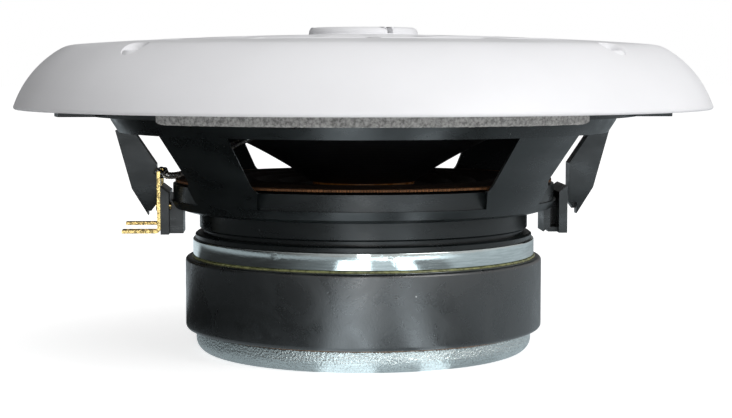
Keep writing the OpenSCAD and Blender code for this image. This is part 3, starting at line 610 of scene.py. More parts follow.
def zinc_steel(f, name, speckle):
    """Zinc plated steel: bright, with fine rolling streaks and patches where spangles break the gloss up.
    speckle from 0 to 1 spreads the patches."""
    m = Finish(name, Metallic=1.0)
    edge = 0.72 - 0.36 * speckle
    patch = m.span(m.noise(0.016, 3, 0.55, stretch=(1, 1, 0.6)), edge - 0.12, edge)
    spangle, fine = m.cells(0.00055), m.noise(0.00035, 4, 0.7)
    streak = m.noise(0.0006, 3, 0.6, stretch=(9, 9, 0.7))
    dull = m.times(m.times(patch, 0.7), m.span(fine, 0.5, 0.66))
    gloss = m.span(streak, 0.3, 0.7, f.zinc_gloss - 0.03, f.zinc_gloss + 0.03)
    height = m.times(m.sum(fine, spangle), m.sum(m.times(patch, 0.95), 0.05))
    return m.set(Base_Color=m.mix(dull, m.tinted(streak, f.zinc, 0.88, 1.08), shade(f.zinc, 0.42)),
        Roughness=m.sum(gloss, m.times(patch, 0.07)),
        Normal=m.relief(height, 0.00008 + 0.00012 * speckle, 0.8)).material


def ferrite(f):
    """Pressed and ground ferrite: dark grey with a soft sheen, smudges in its gloss, pits and a few white
    specks."""
    m = Finish("ferrite", IOR=2.0)
    smudge = m.noise(0.011, 6, 0.62, warp=0.8)
    specks = m.span(m.cells(0.0075), 0.018, 0.028, 1, 0)
    pits = m.span(m.noise(0.0016, 3, 0.7), 0.28, 0.4)
    height = m.sum(m.noise(0.0004, 3, 0.6), m.times(pits, 0.6))
    return m.set(Base_Color=m.mix(specks, m.tinted(smudge, f.ferrite, 0.75, 1.5, 0.32), (0.5, 0.5, 0.5)),
        Roughness=m.span(smudge, 0.3, 0.72, f.ferrite_gloss - 0.05, f.ferrite_gloss + 0.12),
        Normal=m.relief(height, 0.00004, 0.8)).material


def dried_glue(name, tint):
    """Dried glue: glassy in places, cloudy in others."""
    m = Finish(name, IOR=1.5)
    cloud = m.noise(0.0015, 4, 0.6)
    return m.set(Base_Color=m.tinted(cloud, tint, 0.55, 1.25, 0.35, 0.65),
        Roughness=m.span(cloud, 0.3, 0.7, 0.18, 0.5),
        Normal=m.relief(m.noise(0.0006, 3), 0.00008, 0.8)).material


def brass(f):
    """Stamped brass strip: bright, with fine rolling marks and duller, darker spots."""
    m = Finish("terminal_brass", Metallic=1.0)
    marks = m.noise(0.0006, 3, 0.6, stretch=(1, 6, 6))
    spots = m.span(m.noise(0.0009, 4, 0.7), 0.46, 0.6)
    bright = m.mix(marks, shade(f.brass, 0.9), shade(f.brass, 1.15))
    return m.set(Base_Color=m.mix(spots, bright, shade(f.brass, 0.3)),
        Roughness=m.span(marks, 0.3, 0.7, 0.12, 0.3),
        Normal=m.relief(m.noise(0.0004, 3, 0.7), 0.00006, 0.7)).material


def bright_metal(name, tint, rough, size=0.0008):
    """Bright plated metal, slightly uneven."""
    m = Finish(name, Metallic=1.0)
    cloud = m.noise(size, 4, 0.6)
    return m.set(Base_Color=m.tinted(cloud, tint, 0.82, 1.08),
        Roughness=m.span(cloud, 0.3, 0.7, rough * 0.7, rough * 1.4),
        Normal=m.relief(cloud, 0.00004, 0.5)).material


def braid_metal():
    """Tinned copper braid: bright strands with dark gaps, their relief in the mesh."""
    m = Finish("tinned_braid", Metallic=1.0)
    gaps = m.span(m.noise(0.00028, 3, 0.7), 0.42, 0.62)
    return m.set(Base_Color=m.mix(gaps, (0.80, 0.79, 0.78), (0.34, 0.27, 0.22)),
        Roughness=m.span(gaps, 0, 1, 0.22, 0.5)).material


def cone_plastic():
    """Black moulded cone: satin, with fine rings left by the mould."""
    m = Finish("cone_plastic", Base_Color=(0.012, 0.012, 0.013), IOR=1.5)
    return m.set(Roughness=m.span(m.noise(0.01, 4), 0.3, 0.7, 0.32, 0.46),
        Normal=m.relief(m.wave(m.from_axis(), 0.0008), 0.00002, 0.5)).material


def resin_cloth(f):
    """Woven cloth stiffened with resin: threads cross at a right angle and the colour varies with the soak.
    Painted shade: inside the glued edge the cloth is coloured nearly black, standing in for the shade under
    the cone, so its own brown shows only at the glued edge; the weave's low points are painted darker as well."""
    m = Finish("resin_cloth", Roughness=0.7, IOR=1.4)
    place = m.axes()
    weave = m.times(m.wave(place[0], 0.0007), m.wave(place[1], 0.0007))
    dry = m.tinted(m.noise(0.006, 4, 0.6), f.cloth, 0.55, 1.35)
    # painted shade: the weave's low points, where its bump sinks, are coloured darker
    plain = m.mix(m.span(weave, -1, 1), shade(f.cloth, 0.4), dry)
    # painted shade: inside the glued edge (radius 42.5 to 44.5 mm) the colour drops to nearly black, for the
    # shade under the cone
    return m.set(Base_Color=m.mix(m.span(m.from_axis(), 0.0425, 0.0445), shade(f.cloth, 0.07), plain),
        Normal=m.relief(weave, 0.00012, 0.8)).material


def rubber():
    """Black rubber with a dull, slightly powdery skin."""
    m = Finish("black_rubber", IOR=1.5)
    dust = m.noise(0.006, 5, 0.6)
    return m.set(Base_Color=m.mix(m.span(dust, 0.35, 0.75), (0.01, 0.01, 0.01), (0.03, 0.03, 0.031)),
        Roughness=m.span(dust, 0.3, 0.7, 0.5, 0.68),
        Normal=m.relief(m.noise(0.0005, 3), 0.00003, 0.5)).material


def board_grey():
    """Grey pressed fibre board."""
    m = Finish("grey_board", Roughness=0.9)
    fibre = m.noise(0.0009, 5, 0.7, stretch=(3, 3, 1))
    return m.set(Base_Color=m.mix(m.span(fibre, 0.3, 0.7), (0.10, 0.10, 0.098), (0.20, 0.20, 0.195)),
        Normal=m.relief(fibre, 0.0001, 0.7)).material


def thin_film(name, tint, rough):
    """Thin polymer film or moulded plastic, slightly cloudy."""
    m = Finish(name, IOR=1.6)
    cloud = m.noise(0.002, 4)
    return m.set(Base_Color=m.tinted(cloud, tint, 0.75, 1.2),
        Roughness=m.span(cloud, 0.3, 0.7, rough - 0.08, rough + 0.1),
        Normal=m.relief(m.noise(0.0006, 3), 0.00003, 0.4)).material


def winding():
    """Copper wire, one turn beside the next up the coil, with painted shade: the grooves between the turns are
    coloured dark.
    """
    m = Finish("copper_wire", Metallic=1.0, Roughness=0.3)
    turns = m.wave(m.axes()[2], 0.00025)
    # painted shade: where the turns' bump sinks between the wires, the colour goes dark brown
    return m.set(Base_Color=m.mix(m.span(turns, -1, 0.4), (0.16, 0.05, 0.02), (0.80, 0.36, 0.18)),
        Normal=m.relief(turns, 0.00008, 0.9)).material


# Front moulding


def shell_height(r, s, bar=0.0, inset=0.0):
    """Height of the front's face at radius r: the lower of the crown's and the flank's circle, joined softly
    by minus k times the logarithm of the sum of exp(-height / k). Inside its own centre the flank's circle
    runs on as a rising line, clear of the crown. bar and inset give the inner face."""
    crown = s.crown_z - (s.crown_r - np.sqrt(s.crown_r**2 - r**2)) - bar
    past = r - s.outer_r + s.flank_in
    reach = (s.flank_r - inset) ** 2 - np.maximum(0, past) ** 2
    flank = s.flank_z + np.sqrt(np.maximum(0, reach)) + np.maximum(0, -past)
    k = s.shoulder_soft
    least = np.minimum(crown, flank)
    return least - k * np.log(np.exp(-(crown - least) / k) + np.exp(-(flank - least) / k))


def polar(radius, angle):
    """Points of the plane from radius and angle."""
    return np.stack(np.broadcast_arrays(radius * np.cos(angle), radius * np.sin(angle)), -1)


def slot_loop(inner, outer, bars, bar_w, corner, grow, arc_steps, side_steps):
    """One slot between two bars as a closed loop: along its inner arc, out beside the far bar, back along the
    outer arc and in beside the near one. Each corner is a circle that touches the arc and the bar's straight
    side, in five points. grow moves the whole loop outwards."""
    step = TURN / bars
    q = bar_w / 2 + corner
    low_r, top_r = inner + corner, outer - corner
    low_a, top_a = math.asin(q / low_r), math.asin(q / top_r)
    t = np.linspace(0, 1, 5)
    low = polar(low_r, low_a) + polar(corner + grow, -math.pi / 2 + t * (low_a - math.pi / 2))
    top = polar(top_r, top_a) + polar(corner + grow, top_a - t * (math.pi / 2 + top_a))
    mirror = np.array([[math.cos(step), math.sin(step)], [math.sin(step), -math.cos(step)]])
    far_low, far_top = (low @ mirror)[::-1], (top @ mirror)[::-1]
    arc = polar(inner - grow, np.linspace(low_a, step - low_a, arc_steps - 3)[1:-1])
    back = polar(outer + grow, np.linspace(step - top_a, top_a, arc_steps - 3)[1:-1])
    run = np.linspace(0, 1, side_steps - 3)[1:-1, None]
    far_side = far_low[-1] + (far_top[0] - far_low[-1]) * run
    near_side = top[-1] + (low[0] - top[-1]) * run
    return np.concatenate([low[2:], arc, far_low, far_side, far_top, back, top, near_side, low[:2]])


def cell_loop(inner, outer, start, end, arc_steps, side_steps):
    """The edge of a cell between two radii and two angles, as a closed loop in the same order as a slot's."""
    a = np.linspace(start, end, arc_steps + 1)
    r = np.linspace(inner, outer, side_steps + 1)
    inner_arc, outer_arc = polar(inner, a[:-1]), polar(outer, a[::-1][:-1])
    return np.concatenate([inner_arc, polar(r[:-1], end), outer_arc, polar(r[::-1][:-1], start)])


def lifted(loop, z):
    """A loop of the plane at a height, or at a height for each of its points."""
    return np.concatenate([loop, np.broadcast_to(z, loop.shape[:-1])[..., None]], -1)


def spread(a, b, height, rows):
    """Rows of points from loop a towards loop b by equal shares, each at the height of its radius."""
    t = (np.arange(rows) / rows)[:, None, None]
    flat = a + (b - a) * t
    return lifted(flat, height(np.linalg.norm(flat, axis=-1)))


def radius_of(loop):
    """Distance of each point from the axis."""
    return np.linalg.norm(loop, axis=-1)


def around(rows, angles):
    """Copies of one patch of closed rows, turned about the axis by each angle."""
    c, d = np.cos(angles)[:, None, None], np.sin(angles)[:, None, None]
    x, y, z = (rows[None, ..., i] for i in range(3))
    points = np.stack([c * x - d * y, d * x + c * y, z + 0 * c * x], -1)
    count, height, width = points.shape[:3]
    faces = quads(height, width)[None] + (np.arange(count) * height * width)[:, None, None]
    return points.reshape(-1, 3), faces.reshape(-1, 4)


def swept(outline, angles):
    """An open outline (r, z) turned through some angles only."""
    r, z = outline[:, 0][:, None], outline[:, 1][:, None]
    points = np.stack([r * np.cos(angles), r * np.sin(angles), z + 0 * angles], -1)
    return points.reshape(-1, 3), quads(len(outline), len(angles), wrap_columns=False)


def slot_ring(outer, gap, rim, bars, bar_w, corner, edge, faces, steps, start):
    """A ring slot that straight bars cut into slots. Each slot is one patch that runs from its cell's edge
    over a rounded edge down the slot's wall and back under the bars to the cell's edge. faces are the heights
    of the outer and the inner face as functions of the radius."""
    top, bottom = faces
    inner = outer - gap
    cell = cell_loop(inner - rim / 2, outer + rim / 2, 0, TURN / bars, *steps)
    loop = lambda grow: slot_loop(inner, outer, bars, bar_w, corner, grow, *steps)
    rows = [spread(cell, loop(edge), top, 3)]
    for b in np.linspace(0, math.pi / 2, 5):
        at = loop(edge * (1 - math.sin(b)))
        rows.append(lifted(at, top(radius_of(at)) - edge * (1 - math.cos(b)))[None])
    at = loop(0)
    rows.append(lifted(at, bottom(radius_of(at)) + edge / 2)[None])
    rows.append(spread(loop(edge / 2), cell, bottom, 3))
    rows.append(lifted(cell, bottom(radius_of(cell)))[None])
    return around(np.concatenate(rows), np.arange(bars) * TURN / bars + start)


def slotted_crown(s, faces, steps):
    """The grille: rings of slots, every second one turned by half a slot."""
    pitch, half_slot = s.slot_gap + s.ring_bar_w, TURN / s.spokes / 2
    return [slot_ring(s.outer_r - s.open_in - k * pitch, s.slot_gap, s.ring_bar_w, s.spokes, s.spoke_w,
        s.slot_round, s.slot_edge, faces, steps, k % 2 * half_slot) for k in range(s.rings)]


def flank_shell(s, faces, segments, side_steps, margin=0.0007):
    """The closed rim outside the grille: a plain ring, the band of the four mounting screws, which lie on the
    diagonals in cells of their own, and the rounded flank. margin is the least width round a countersink."""
    screw_r = s.outer_r - s.screw_in
    reach = s.screw_sink_r + margin
    low_r, high_r = screw_r - reach, screw_r + reach
    half = 3 * TURN / segments
    ring = np.linspace(s.outer_r - s.open_in + s.ring_bar_w / 2, low_r, 7)
    band = np.linspace(low_r, high_r, side_steps + 1)
    made = [turned(np.stack([ring, face(ring)], -1), segments, closed=False) for face in faces]
    sweep = TURN / 4 - 2 * half
    for k in range(4):
        start = TURN / 8 + k * TURN / 4 + half
        angles = np.linspace(start, start + sweep, round(sweep / TURN * segments) + 1)
        made += [swept(np.stack([band, face(band)], -1), angles) for face in faces]
    made.append(turned(flank_line(s, faces, high_r), segments, closed=False))
    cell = cell_loop(low_r, high_r, -half, half, 6, side_steps)
    made.append(around(screw_hole(s, faces, cell, screw_r), TURN / 8 + np.arange(4) * TURN / 4))
    return made


def flank_line(s, faces, first_r):
    """Section of the flank: down its outer face by equal steps of angle, round the lower edge and up its
    inner face."""
    centre_r = s.outer_r - s.flank_in
    edge_z = s.rim_z + s.rim_round
    sides = []
    for face, radius in zip(faces, (s.flank_r, s.flank_r - s.wall)):
        first, last = math.acos((first_r - centre_r) / radius), math.asin((edge_z - s.flank_z) / radius)
        r = centre_r + radius * np.cos(np.linspace(first, last, 28))
        r[0] = first_r
        sides.append(np.stack([r, face(r)], -1))
    outer, inner = sides[0], sides[1][::-1]
    tip = rounded([(*outer[-1], 0), (outer[-1][0], s.rim_z, s.rim_round),
        (inner[0][0], s.rim_z, s.rim_round), (*inner[0], 0)], 5)
    return np.concatenate([outer, tip[1:-1], inner])


def screw_hole(s, faces, cell, screw_r, bevel=0.0002, step=0.0004):
    """A sunk mounting hole in its tube, as rows of points: from the cell's edge over the countersink's bevel
    and cone down the bore, up outside the tube and back to the cell's edge inside the front."""
    top, bottom = faces
    ray = cell - (screw_r, 0)
    ray /= np.linalg.norm(ray, axis=1, keepdims=True)
    circle = lambda radius: (screw_r, 0) + ray * radius
    lip, sink, bore = circle(s.screw_sink_r + bevel), circle(s.screw_sink_r), circle(s.screw_hole_r)
    wall = circle(s.screw_hole_r + s.screw_boss_t)
    seat = top(np.array([screw_r]))[0] - (s.screw_sink_r - s.screw_hole_r) - step
    return np.concatenate([spread(cell, lip, top, 3), lifted(lip, top(radius_of(lip)))[None],
        lifted(sink, top(radius_of(sink)) - bevel)[None], lifted(bore, seat)[None],
        lifted(bore, s.rim_z)[None], lifted(wall, s.rim_z)[None],
        lifted(wall, bottom(radius_of(wall)))[None], spread(wall, cell, bottom, 2)[1:],
        lifted(cell, bottom(radius_of(cell)))[None]])


def grille_centre(s, faces, segments, rise=0.0003, reach=0.0005):
    """The ring between the innermost slots and the boss, over and under, with a small fillet at the boss that
    rises over its reach as a square."""
    top, bottom = faces
    inner = s.outer_r - s.open_in - s.rings * (s.slot_gap + s.ring_bar_w) + s.ring_bar_w / 2
    run = np.concatenate([np.linspace(inner, s.boss_r + reach + 0.0001, 5),
        np.linspace(s.boss_r + reach, s.boss_r, 5), [s.boss_r - s.boss_wall]])
    fillet = rise * np.clip(1 - (run - s.boss_r) / reach, 0, 1) ** 2
    line = np.concatenate([np.stack([run, top(run) + fillet], -1), np.stack([run, bottom(run)], -1)[::-1]])
    return turned(line, segments, closed=False)


def boss_outline(s, angles):
    """The boss's outline: a circle with short round-ended slots that run in from it, as one loop. Also gives
    how much each point's upper edge is rounded."""
    r, q, inner, arc_points = s.boss_r, s.boss_slot_w / 2, s.boss_r - s.boss_slot_l, 66
    reach = math.asin(q / r)
    loops, rounds = [], []
    for a, b in zip(angles, np.roll(angles, -1)):
        b = b + TURN * (b < a)
        axis, side = polar(1, b), polar(1, b + math.pi / 2)
        run_in = np.linspace(math.sqrt(r * r - q * q), inner, 6)[1:, None]
        turn = np.linspace(0, math.pi, 6)[1:-1, None]
        end = (inner - 0.4 * q * np.sin(turn)) * axis - q * np.cos(turn) * side
        loops += [polar(r, np.linspace(a + reach, b - reach, arc_points)), run_in * axis - q * side, end,
            run_in[::-1] * axis + q * side]
        rounds += [np.full(arc_points, s.boss_round), np.full(2 * len(run_in) + len(end), s.boss_edge)]
    return np.concatenate(loops), np.concatenate(rounds)[:, None]


def boss(s, angles=(-64, 56, 176)):
    """The boss over the tweeter: a cap with a rounded edge, short slots in its edge and two ring slots in its
    top. Rows of points run from a circle outside the ring slots to the outline, over the edge, down the wall
    and back inside the cap."""
    top_z = high("front_grille").z
    under_z = top_z - s.boss_roof
    faces = (lambda r: top_z + 0 * r, lambda r: under_z + 0 * r)
    pitch, half_slot = s.boss_gap + s.boss_bar_w, TURN / s.boss_bars / 2
    outer = s.boss_r - s.boss_slot_l - s.boss_bar_w
    loop, edge = boss_outline(s, np.radians(angles))
    steps = (len(loop) // s.boss_bars, 6)
    made = [slot_ring(outer - k * pitch, s.boss_gap, s.boss_bar_w, s.boss_bars, s.boss_bar_w,
        0.3 * s.boss_gap, s.boss_edge, faces, steps, k * half_slot) for k in range(2)]
    centre = outer - 2 * s.boss_gap - 1.5 * s.boss_bar_w
    for z in (top_z, under_z):
        made.append(turned(np.array([(centre, z), (0, z)]), len(loop), closed=False))
    # the circle's points lie on the same even angles as the ring slots' cells
    grid = TURN / len(loop)
    first = round(math.atan2(loop[0, 1], loop[0, 0]) / grid) * grid
    circle = polar(outer + s.boss_bar_w / 2, first + np.arange(len(loop)) * grid)
    tangent = np.roll(loop, -1, 0) - np.roll(loop, 1, 0)
    outward = np.stack([tangent[:, 1], -tangent[:, 0]], -1)
    outward /= np.linalg.norm(outward, axis=1, keepdims=True)
    rows = [lifted(circle, top_z)]
    for b in np.linspace(0, math.pi / 2, 9):
        rows.append(lifted(loop - outward * edge * (1 - math.sin(b)), top_z - edge[:, 0] * (1 - math.cos(b))))
    r = radius_of(loop)
    bore = s.boss_r - s.boss_wall
    wall = loop * (np.minimum(r, bore) / r)[:, None]
    foot = np.where(r > bore, s.crown_z - s.bar_t, under_z)
    rows += [lifted(loop, foot), lifted(wall, foot), lifted(wall, under_z), lifted(circle, under_z)]
    made.append((np.stack(rows).reshape(-1, 3), quads(len(rows), len(loop))))
    return made


def front_ribs(s):
    """Under the front: the rib that presses on the surround's clamp ring, and the tubes that the ears' screws
    bite into."""
    top = lambda r: shell_height(np.array([r]), s)[0] - s.rib_cover
    made = [ring_of(s.rib_in, s.rib_out, s.rib_z, top(s.rib_out), 0.0003, 192)]
    corner = high("grille_screws")
    x, y = corner.x - s.ear_head_r, corner.y - s.ear_head_r
    tube_top = top(math.hypot(x, y) + s.ear_tube_r)
    ear_tube = ring_of(s.ear_bore_r, s.ear_tube_r, high("basket").z, tube_top, 0.0002, 48)
    made += [moved(ear_tube, (*place, 0)) for place in ((x, y), (-x, y), (x, -y), (-x, -y))]
    return made


# Other surfaces


def gasket_strip(s, start, end, outer, bottom, rim_z, seed, columns=420, grid=0.00045):
    """One foam strip: an L-shaped outline turned through an angle. Its skin is pushed in and out by products
    of sine waves with drawn phases, and both ends taper off over a few millimetres."""
    inner, edge, flange_z = outer - s.width, outer - s.lip, bottom + s.thick
    line = rounded([(inner, bottom, 0.0002), (outer, bottom, 0.0006), (outer, rim_z, 0.0002),
        (edge, rim_z, 0.0001), (edge, flange_z, 0.0001), (inner, flange_z, 0.0002)], 4, closed=True)
    fine = []
    for a, b in zip(line, np.roll(line, -1, 0)):
        count = max(1, int(np.linalg.norm(b - a) / grid))
        fine.append(a + (b - a) * (np.arange(count) / count)[:, None])
    line = np.concatenate(fine)
    count = len(line)
    a = np.linspace(start, end, columns)
    draw, waves = np.random.default_rng(seed), 14
    across, along = np.arange(count)[:, None] / count * TURN, a[None, :]
    bumps = sum(w * np.sin(i * across + p) * np.sin(f * along + q)
        for i, f, w, p, q in zip(draw.integers(3, 14, waves), draw.uniform(60, 520, waves),
            draw.uniform(0.4, 1, waves), draw.uniform(0, TURN, waves), draw.uniform(0, TURN, waves)))
    away = line - line.mean(0)
    away /= np.linalg.norm(away, axis=1, keepdims=True)
    depth = s.skin * bumps
    thick = np.clip(np.minimum(a - start, end - a) / s.taper, 0, 1) ** 0.5 * 0.45 + 0.55
    z = line[:, 1][:, None]
    rise = flange_z + (z - flange_z) * np.where(z < flange_z, thick, 1)
    r = line[:, 0][:, None] + away[:, 0][:, None] * depth
    z = rise + away[:, 1][:, None] * depth
    points = np.stack([r * np.cos(a), r * np.sin(a), z], -1)
    hubs = np.stack([points[:, 0].mean(0), points[:, -1].mean(0)])
    first, hub = np.arange(count) * columns, count * columns
    caps = [fan(hub, first), fan(hub + 1, first[::-1] + columns - 1)]
    sides = quads(count, columns, wrap_rows=True, wrap_columns=False)
    return np.concatenate([points.reshape(-1, 3), hubs]), np.concatenate([sides, *caps])


def cone_line(s, neck_r, lip_r, top_z, steps=40):
    """The cone's section: a straight run from neck to lip that bulges by a parabola, a flat lip, and the same
    line back a wall higher."""
    t = np.linspace(0, 1, steps)
    r = neck_r + t * (lip_r - s.lip_w - neck_r)
    z = s.neck_z + t * (top_z - s.cone_t - s.neck_z) + 4 * s.bulge * t * (1 - t)
    under = np.stack([r, z], -1)
    lip = rounded([(*under[-1], 0), (lip_r, top_z - s.cone_t, 0.0002), (lip_r, top_z, 0.0002),
        (under[-1][0], top_z, 0)], 3)
    return np.concatenate([under, lip[1:-1], (under + (0, s.cone_t))[::-1]])


def surround_line(s, inner, roll_in, outer, flat_z, steps=24):
    """The surround's section: a flat inner edge, a half roll and a flat outer edge, one thickness through."""
    mid, t = roll_in + s.roll_r, s.surround_t
    a = np.linspace(math.pi, 0, steps)
    below = np.stack([mid + (s.roll_r - t) * np.cos(a), flat_z + (s.roll_r - t) * np.sin(a)], -1)
    lift = math.asin(t / s.roll_r)
    b = np.linspace(lift, math.pi - lift, steps)
    above = np.stack([mid + s.roll_r * np.cos(b), flat_z + s.roll_r * np.sin(b)], -1)
    start, end = (inner, flat_z), [(outer, flat_z), (outer, flat_z + t)]
    return np.concatenate([[start], below, end, above, [(inner, flat_z + t)]])


def spider_line(s, neck_r, edge_r, end_z):
    """The spider's section: a flat collar, a sine wave that dies out at both ends, and a flat rim."""
    t = np.linspace(0, 1, 24 * s.spider_waves)
    fade = np.minimum(1, np.minimum(6 * t, 6 * (1 - t)))
    start_z, wave_in, wave_out = s.neck_z - s.spider_drop, neck_r + s.spider_collar, edge_r - s.spider_rim
    z = start_z + (end_z - start_z) * t + s.spider_wave * np.sin(TURN * s.spider_waves * t) * fade
    wave = np.stack([wave_in + t * (wave_out - wave_in), z], -1)
    under = np.concatenate([[(neck_r, start_z)], wave, [(edge_r, end_z)]])
    return np.concatenate([under, (under + (0, s.spider_t))[::-1]])


def radial_blend(obj):
    """Bakes the piece's placement into its mesh and reads its points; nothing more is done with them."""
    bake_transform(obj)
    points = np.empty(len(obj.data.vertices) * 3)
    obj.data.vertices.foreach_get("co", points)


# Operators


def settings(context):
    """The scene's settings of this add-on."""
    return context.scene.loudspeaker


class BuildFront(bpy.types.Operator):
    """Makes the white front with its grille"""

    bl_idname = "loudspeaker.front"
    bl_label = "Front and grille"

    def execute(self, context):
        s, f = settings(context).front, settings(context).finishes
        arc_steps, side_steps = 20, 8
        segments = s.spokes * arc_steps
        faces = (lambda r: shell_height(r, s), lambda r: shell_height(r, s, s.bar_t, s.wall))
        steps = (arc_steps, side_steps)
        surfaces = slotted_crown(s, faces, steps) + flank_shell(s, faces, segments, side_steps)
        surfaces += [grille_centre(s, faces, segments), *boss(s), *front_ribs(s)]
        piece("front_moulding", surfaces, white_plastic(f), "frame", ["front_grille"], 40)
        return {"FINISHED"}


class BuildGasket(bpy.types.Operator):
    """Makes the two foam strips and the ring that clamps the surround"""

    bl_idname = "loudspeaker.gasket"
    bl_label = "Gasket and clamp ring"

    def execute(self, context):
        s, f = settings(context).gasket, settings(context).finishes
        a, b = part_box("mounting_gasket")
        # the strips end on the diagonals, so their box touches them at 45 degrees
        outer = math.hypot(b.x, b.x)
        strips = [gasket_strip(s, middle - TURN / 8, middle + TURN / 8, outer, a.z, b.z, seed)
            for seed, middle in enumerate((-TURN / 4, TURN / 4))]
        piece("foam_gasket", strips, grey_foam(f), "frame", ["mounting_gasket"], 50)
        a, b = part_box("clamp_ring")
        ring = ring_of(settings(context).front.rib_in, b.x, a.z, b.z, 0.0002)
        piece("surround_clamp", [ring], board_grey(), "frame", ["clamp_ring"])
        return {"FINISHED"}


class BuildBasket(bpy.types.Operator):
    """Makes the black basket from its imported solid, with rounded edges"""

    bl_idname = "loudspeaker.basket"
    bl_label = "Basket"

    def execute(self, context):
        f = settings(context).finishes
        softened("basket", "moulded_basket", black_plastic(f), 0.00035, crease=28)
        return {"FINISHED"}


class BuildTerminals(bpy.types.Operator):
    """Makes the brass terminals, their rivets and the solder on them"""

    bl_idname = "loudspeaker.terminals"
    bl_label = "Terminals"

    def execute(self, context):
        f = settings(context).finishes
        strip = brass(f)
        for node in ("terminal_wide", "terminal_narrow"):
            softened(node, node + "_strip", strip, 0.00016)
        softened("terminal_rivets", "rivet_heads", strip, 0.00012)
        solder = bright_metal("solder", (0.62, 0.62, 0.63), 0.22)
        blobs = []
        for i, node in enumerate(("terminal_wide", "terminal_narrow")):
            a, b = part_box(node)
            tip = np.array((b.x, (a.y + b.y) / 2, b.z))
            blobs += [lump(tip + shift, radii, seed + i, rough) for shift, radii, seed, rough in SOLDER]
        piece("solder_joints", blobs, solder, "frame", crease=60)
        return {"FINISHED"}


# two lumps of solder on each terminal: place from its upper inner corner, radii, seed and unevenness
SOLDER = (((0.0001, 0, -0.0008), (0.001, 0.0012, 0.0011), 11, 0.25),
    ((-0.0006, 0.0004, -0.0003), (0.0009, 0.001, 0.0007), 17, 0.3))

# the wide terminal's lead from its solder to the cone's underside; the other one is its mirror image
LEAD_POINTS = np.array([(-50.5, -6, 44.6), (-49, -6.6, 43.9), (-46, -9, 44.3), (-42, -12.5, 46.2),
    (-38, -15.6, 48.6), (-34, -18.4, 50.9), (-30.5, -20.4, 52.8), (-27.6, -21.6, 54.2)]) * 0.001


class BuildLeads(bpy.types.Operator):
    """Makes the two braided leads from the terminals to the cone"""

    bl_idname = "loudspeaker.leads"
    bl_label = "Braided leads"

    def execute(self, context):
        s = settings(context).cone
        finish = braid_metal()

        def relief(run, a):
            """Two sets of sine ridges that wind round the lead in opposite directions and cross."""
            wind, climb = s.strands * a / 2, TURN * run / s.braid_step
            return s.braid * np.sin(wind + climb) * np.sin(wind - climb) - s.braid

        for node, side in (("lead_wide", 1), ("lead_narrow", -1)):
            route = smooth_route(LEAD_POINTS * (1, side, 1), 60)
            glued = lump(route[-1] + (0, 0, 0.0001), (0.0013, 0.0013, 0.0006), 5 + side, 0.1)
            surfaces = [tube(route, s.lead_r, relief), glued]
            obj = piece(node + "_braid", surfaces, finish, None, [node], 50)
            start, end = radius_of(route[0][:2]), radius_of(route[-1][:2])
            radial_blend(obj)
        return {"FINISHED"}


class BuildMotor(bpy.types.Operator):
    """Makes the plates, the magnet and the glue between them"""

    bl_idname = "loudspeaker.motor"
    bl_label = "Magnet and plates"

    def execute(self, context):
        s, f = settings(context).motor, settings(context).finishes
        self.back(s, zinc_steel(f, "forged_zinc_steel", 1.0))
        a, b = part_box("top_plate")
        plate = ring_of(high("voice_coil").x + s.coil_gap, b.x, a.z, b.z, s.plate_edge, 384, 5)
        cut = zinc_steel(f, "cut_zinc_steel", 0.0)
        piece("front_plate", [plate], cut, "frame", ["top_plate"])
        a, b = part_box("magnet")
        ring = ring_of(s.magnet_bore, b.x, a.z, b.z, s.magnet_edge, 384, 7)
        piece("ferrite_ring", [ring], ferrite(f), "frame", ["magnet"])
        self.glue(s, f)
        return {"FINISHED"}

    def back(self, s, finish):
        """The back plate and its hollow pole, turned in one."""
        a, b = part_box("back_plate")
        face_z = low("glue_lines").z
        line = rounded([(s.pole_hole_r, a.z, s.pole_edge), (b.x, a.z, s.plate_round),
            (b.x, face_z, s.plate_edge), (s.pole_r, face_z, s.pole_edge), (s.pole_r, b.z, s.plate_edge),
            (s.pole_hole_r, b.z, s.pole_edge)], 12, closed=True)
        piece("back_plate_pole", [turned(line, 384)], finish, "frame", ["back_plate"])

    def glue(self, s, f):
        """Two beads that fill the joints and stand out unevenly, the lower one on the front right only."""
        bore, plate, back = s.glue_bore, high("top_plate").x, high("back_plate").x
        (low_z, high_z), (bottom, top) = ((a.z, b.z) for a, b in map(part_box, ("glue_lines", "magnet")))
        upper = rounded([(bore, top, 0), (plate - 0.0002, top, 0), (plate + 0.0002, top - 0.00002, 0.0001),
            (plate, high_z + 0.0001, 0.0001), (plate - 0.0006, high_z, 0), (bore, high_z, 0)], 4, closed=True)
        lower = rounded([(bore, low_z, 0), (back - 0.0006, low_z - 0.0001, 0), (back, low_z - 0.0002, 0.0002),
            (back + 0.0004, bottom, 0.0002), (bore, bottom, 0)], 4, closed=True)
        draw = np.random.default_rng(7)
        beads = (("upper_glue", upper, f.glue, 1.0, ["glue_lines"]),
            ("lower_glue", lower, f.glue_low, 0.0, []))
        for name, line, tint, even, nodes in beads:
            bead = turned(line, 768, wave=self.uneven(draw, s.bead, even))
            piece(name + "_bead", [bead], dried_glue(name, tint), "frame", nodes)

    def uneven(self, draw, reach, even):
        """How far a bead stands out at an angle, by a sum of sine waves with drawn phases. even is 1 for a
        bead that goes all round and 0 for one on the front right."""
        turns, phase = draw.integers(3, 60, 12), draw.uniform(0, TURN, 12)

        def wave(a, r):
            sway = sum(np.sin(n * a + p) / (1 + 0.12 * n) for n, p in zip(turns, phase))
            right = even + (1 - even) * np.clip(2.5 * np.cos(a + 0.6) - 1, -1, 1)
            # the bead's inner points, well inside this radius, stay where they are
            return np.where(r > 0.03, reach * right * np.clip(0.45 + 0.3 * sway, 0, 1), 0)
        return wave


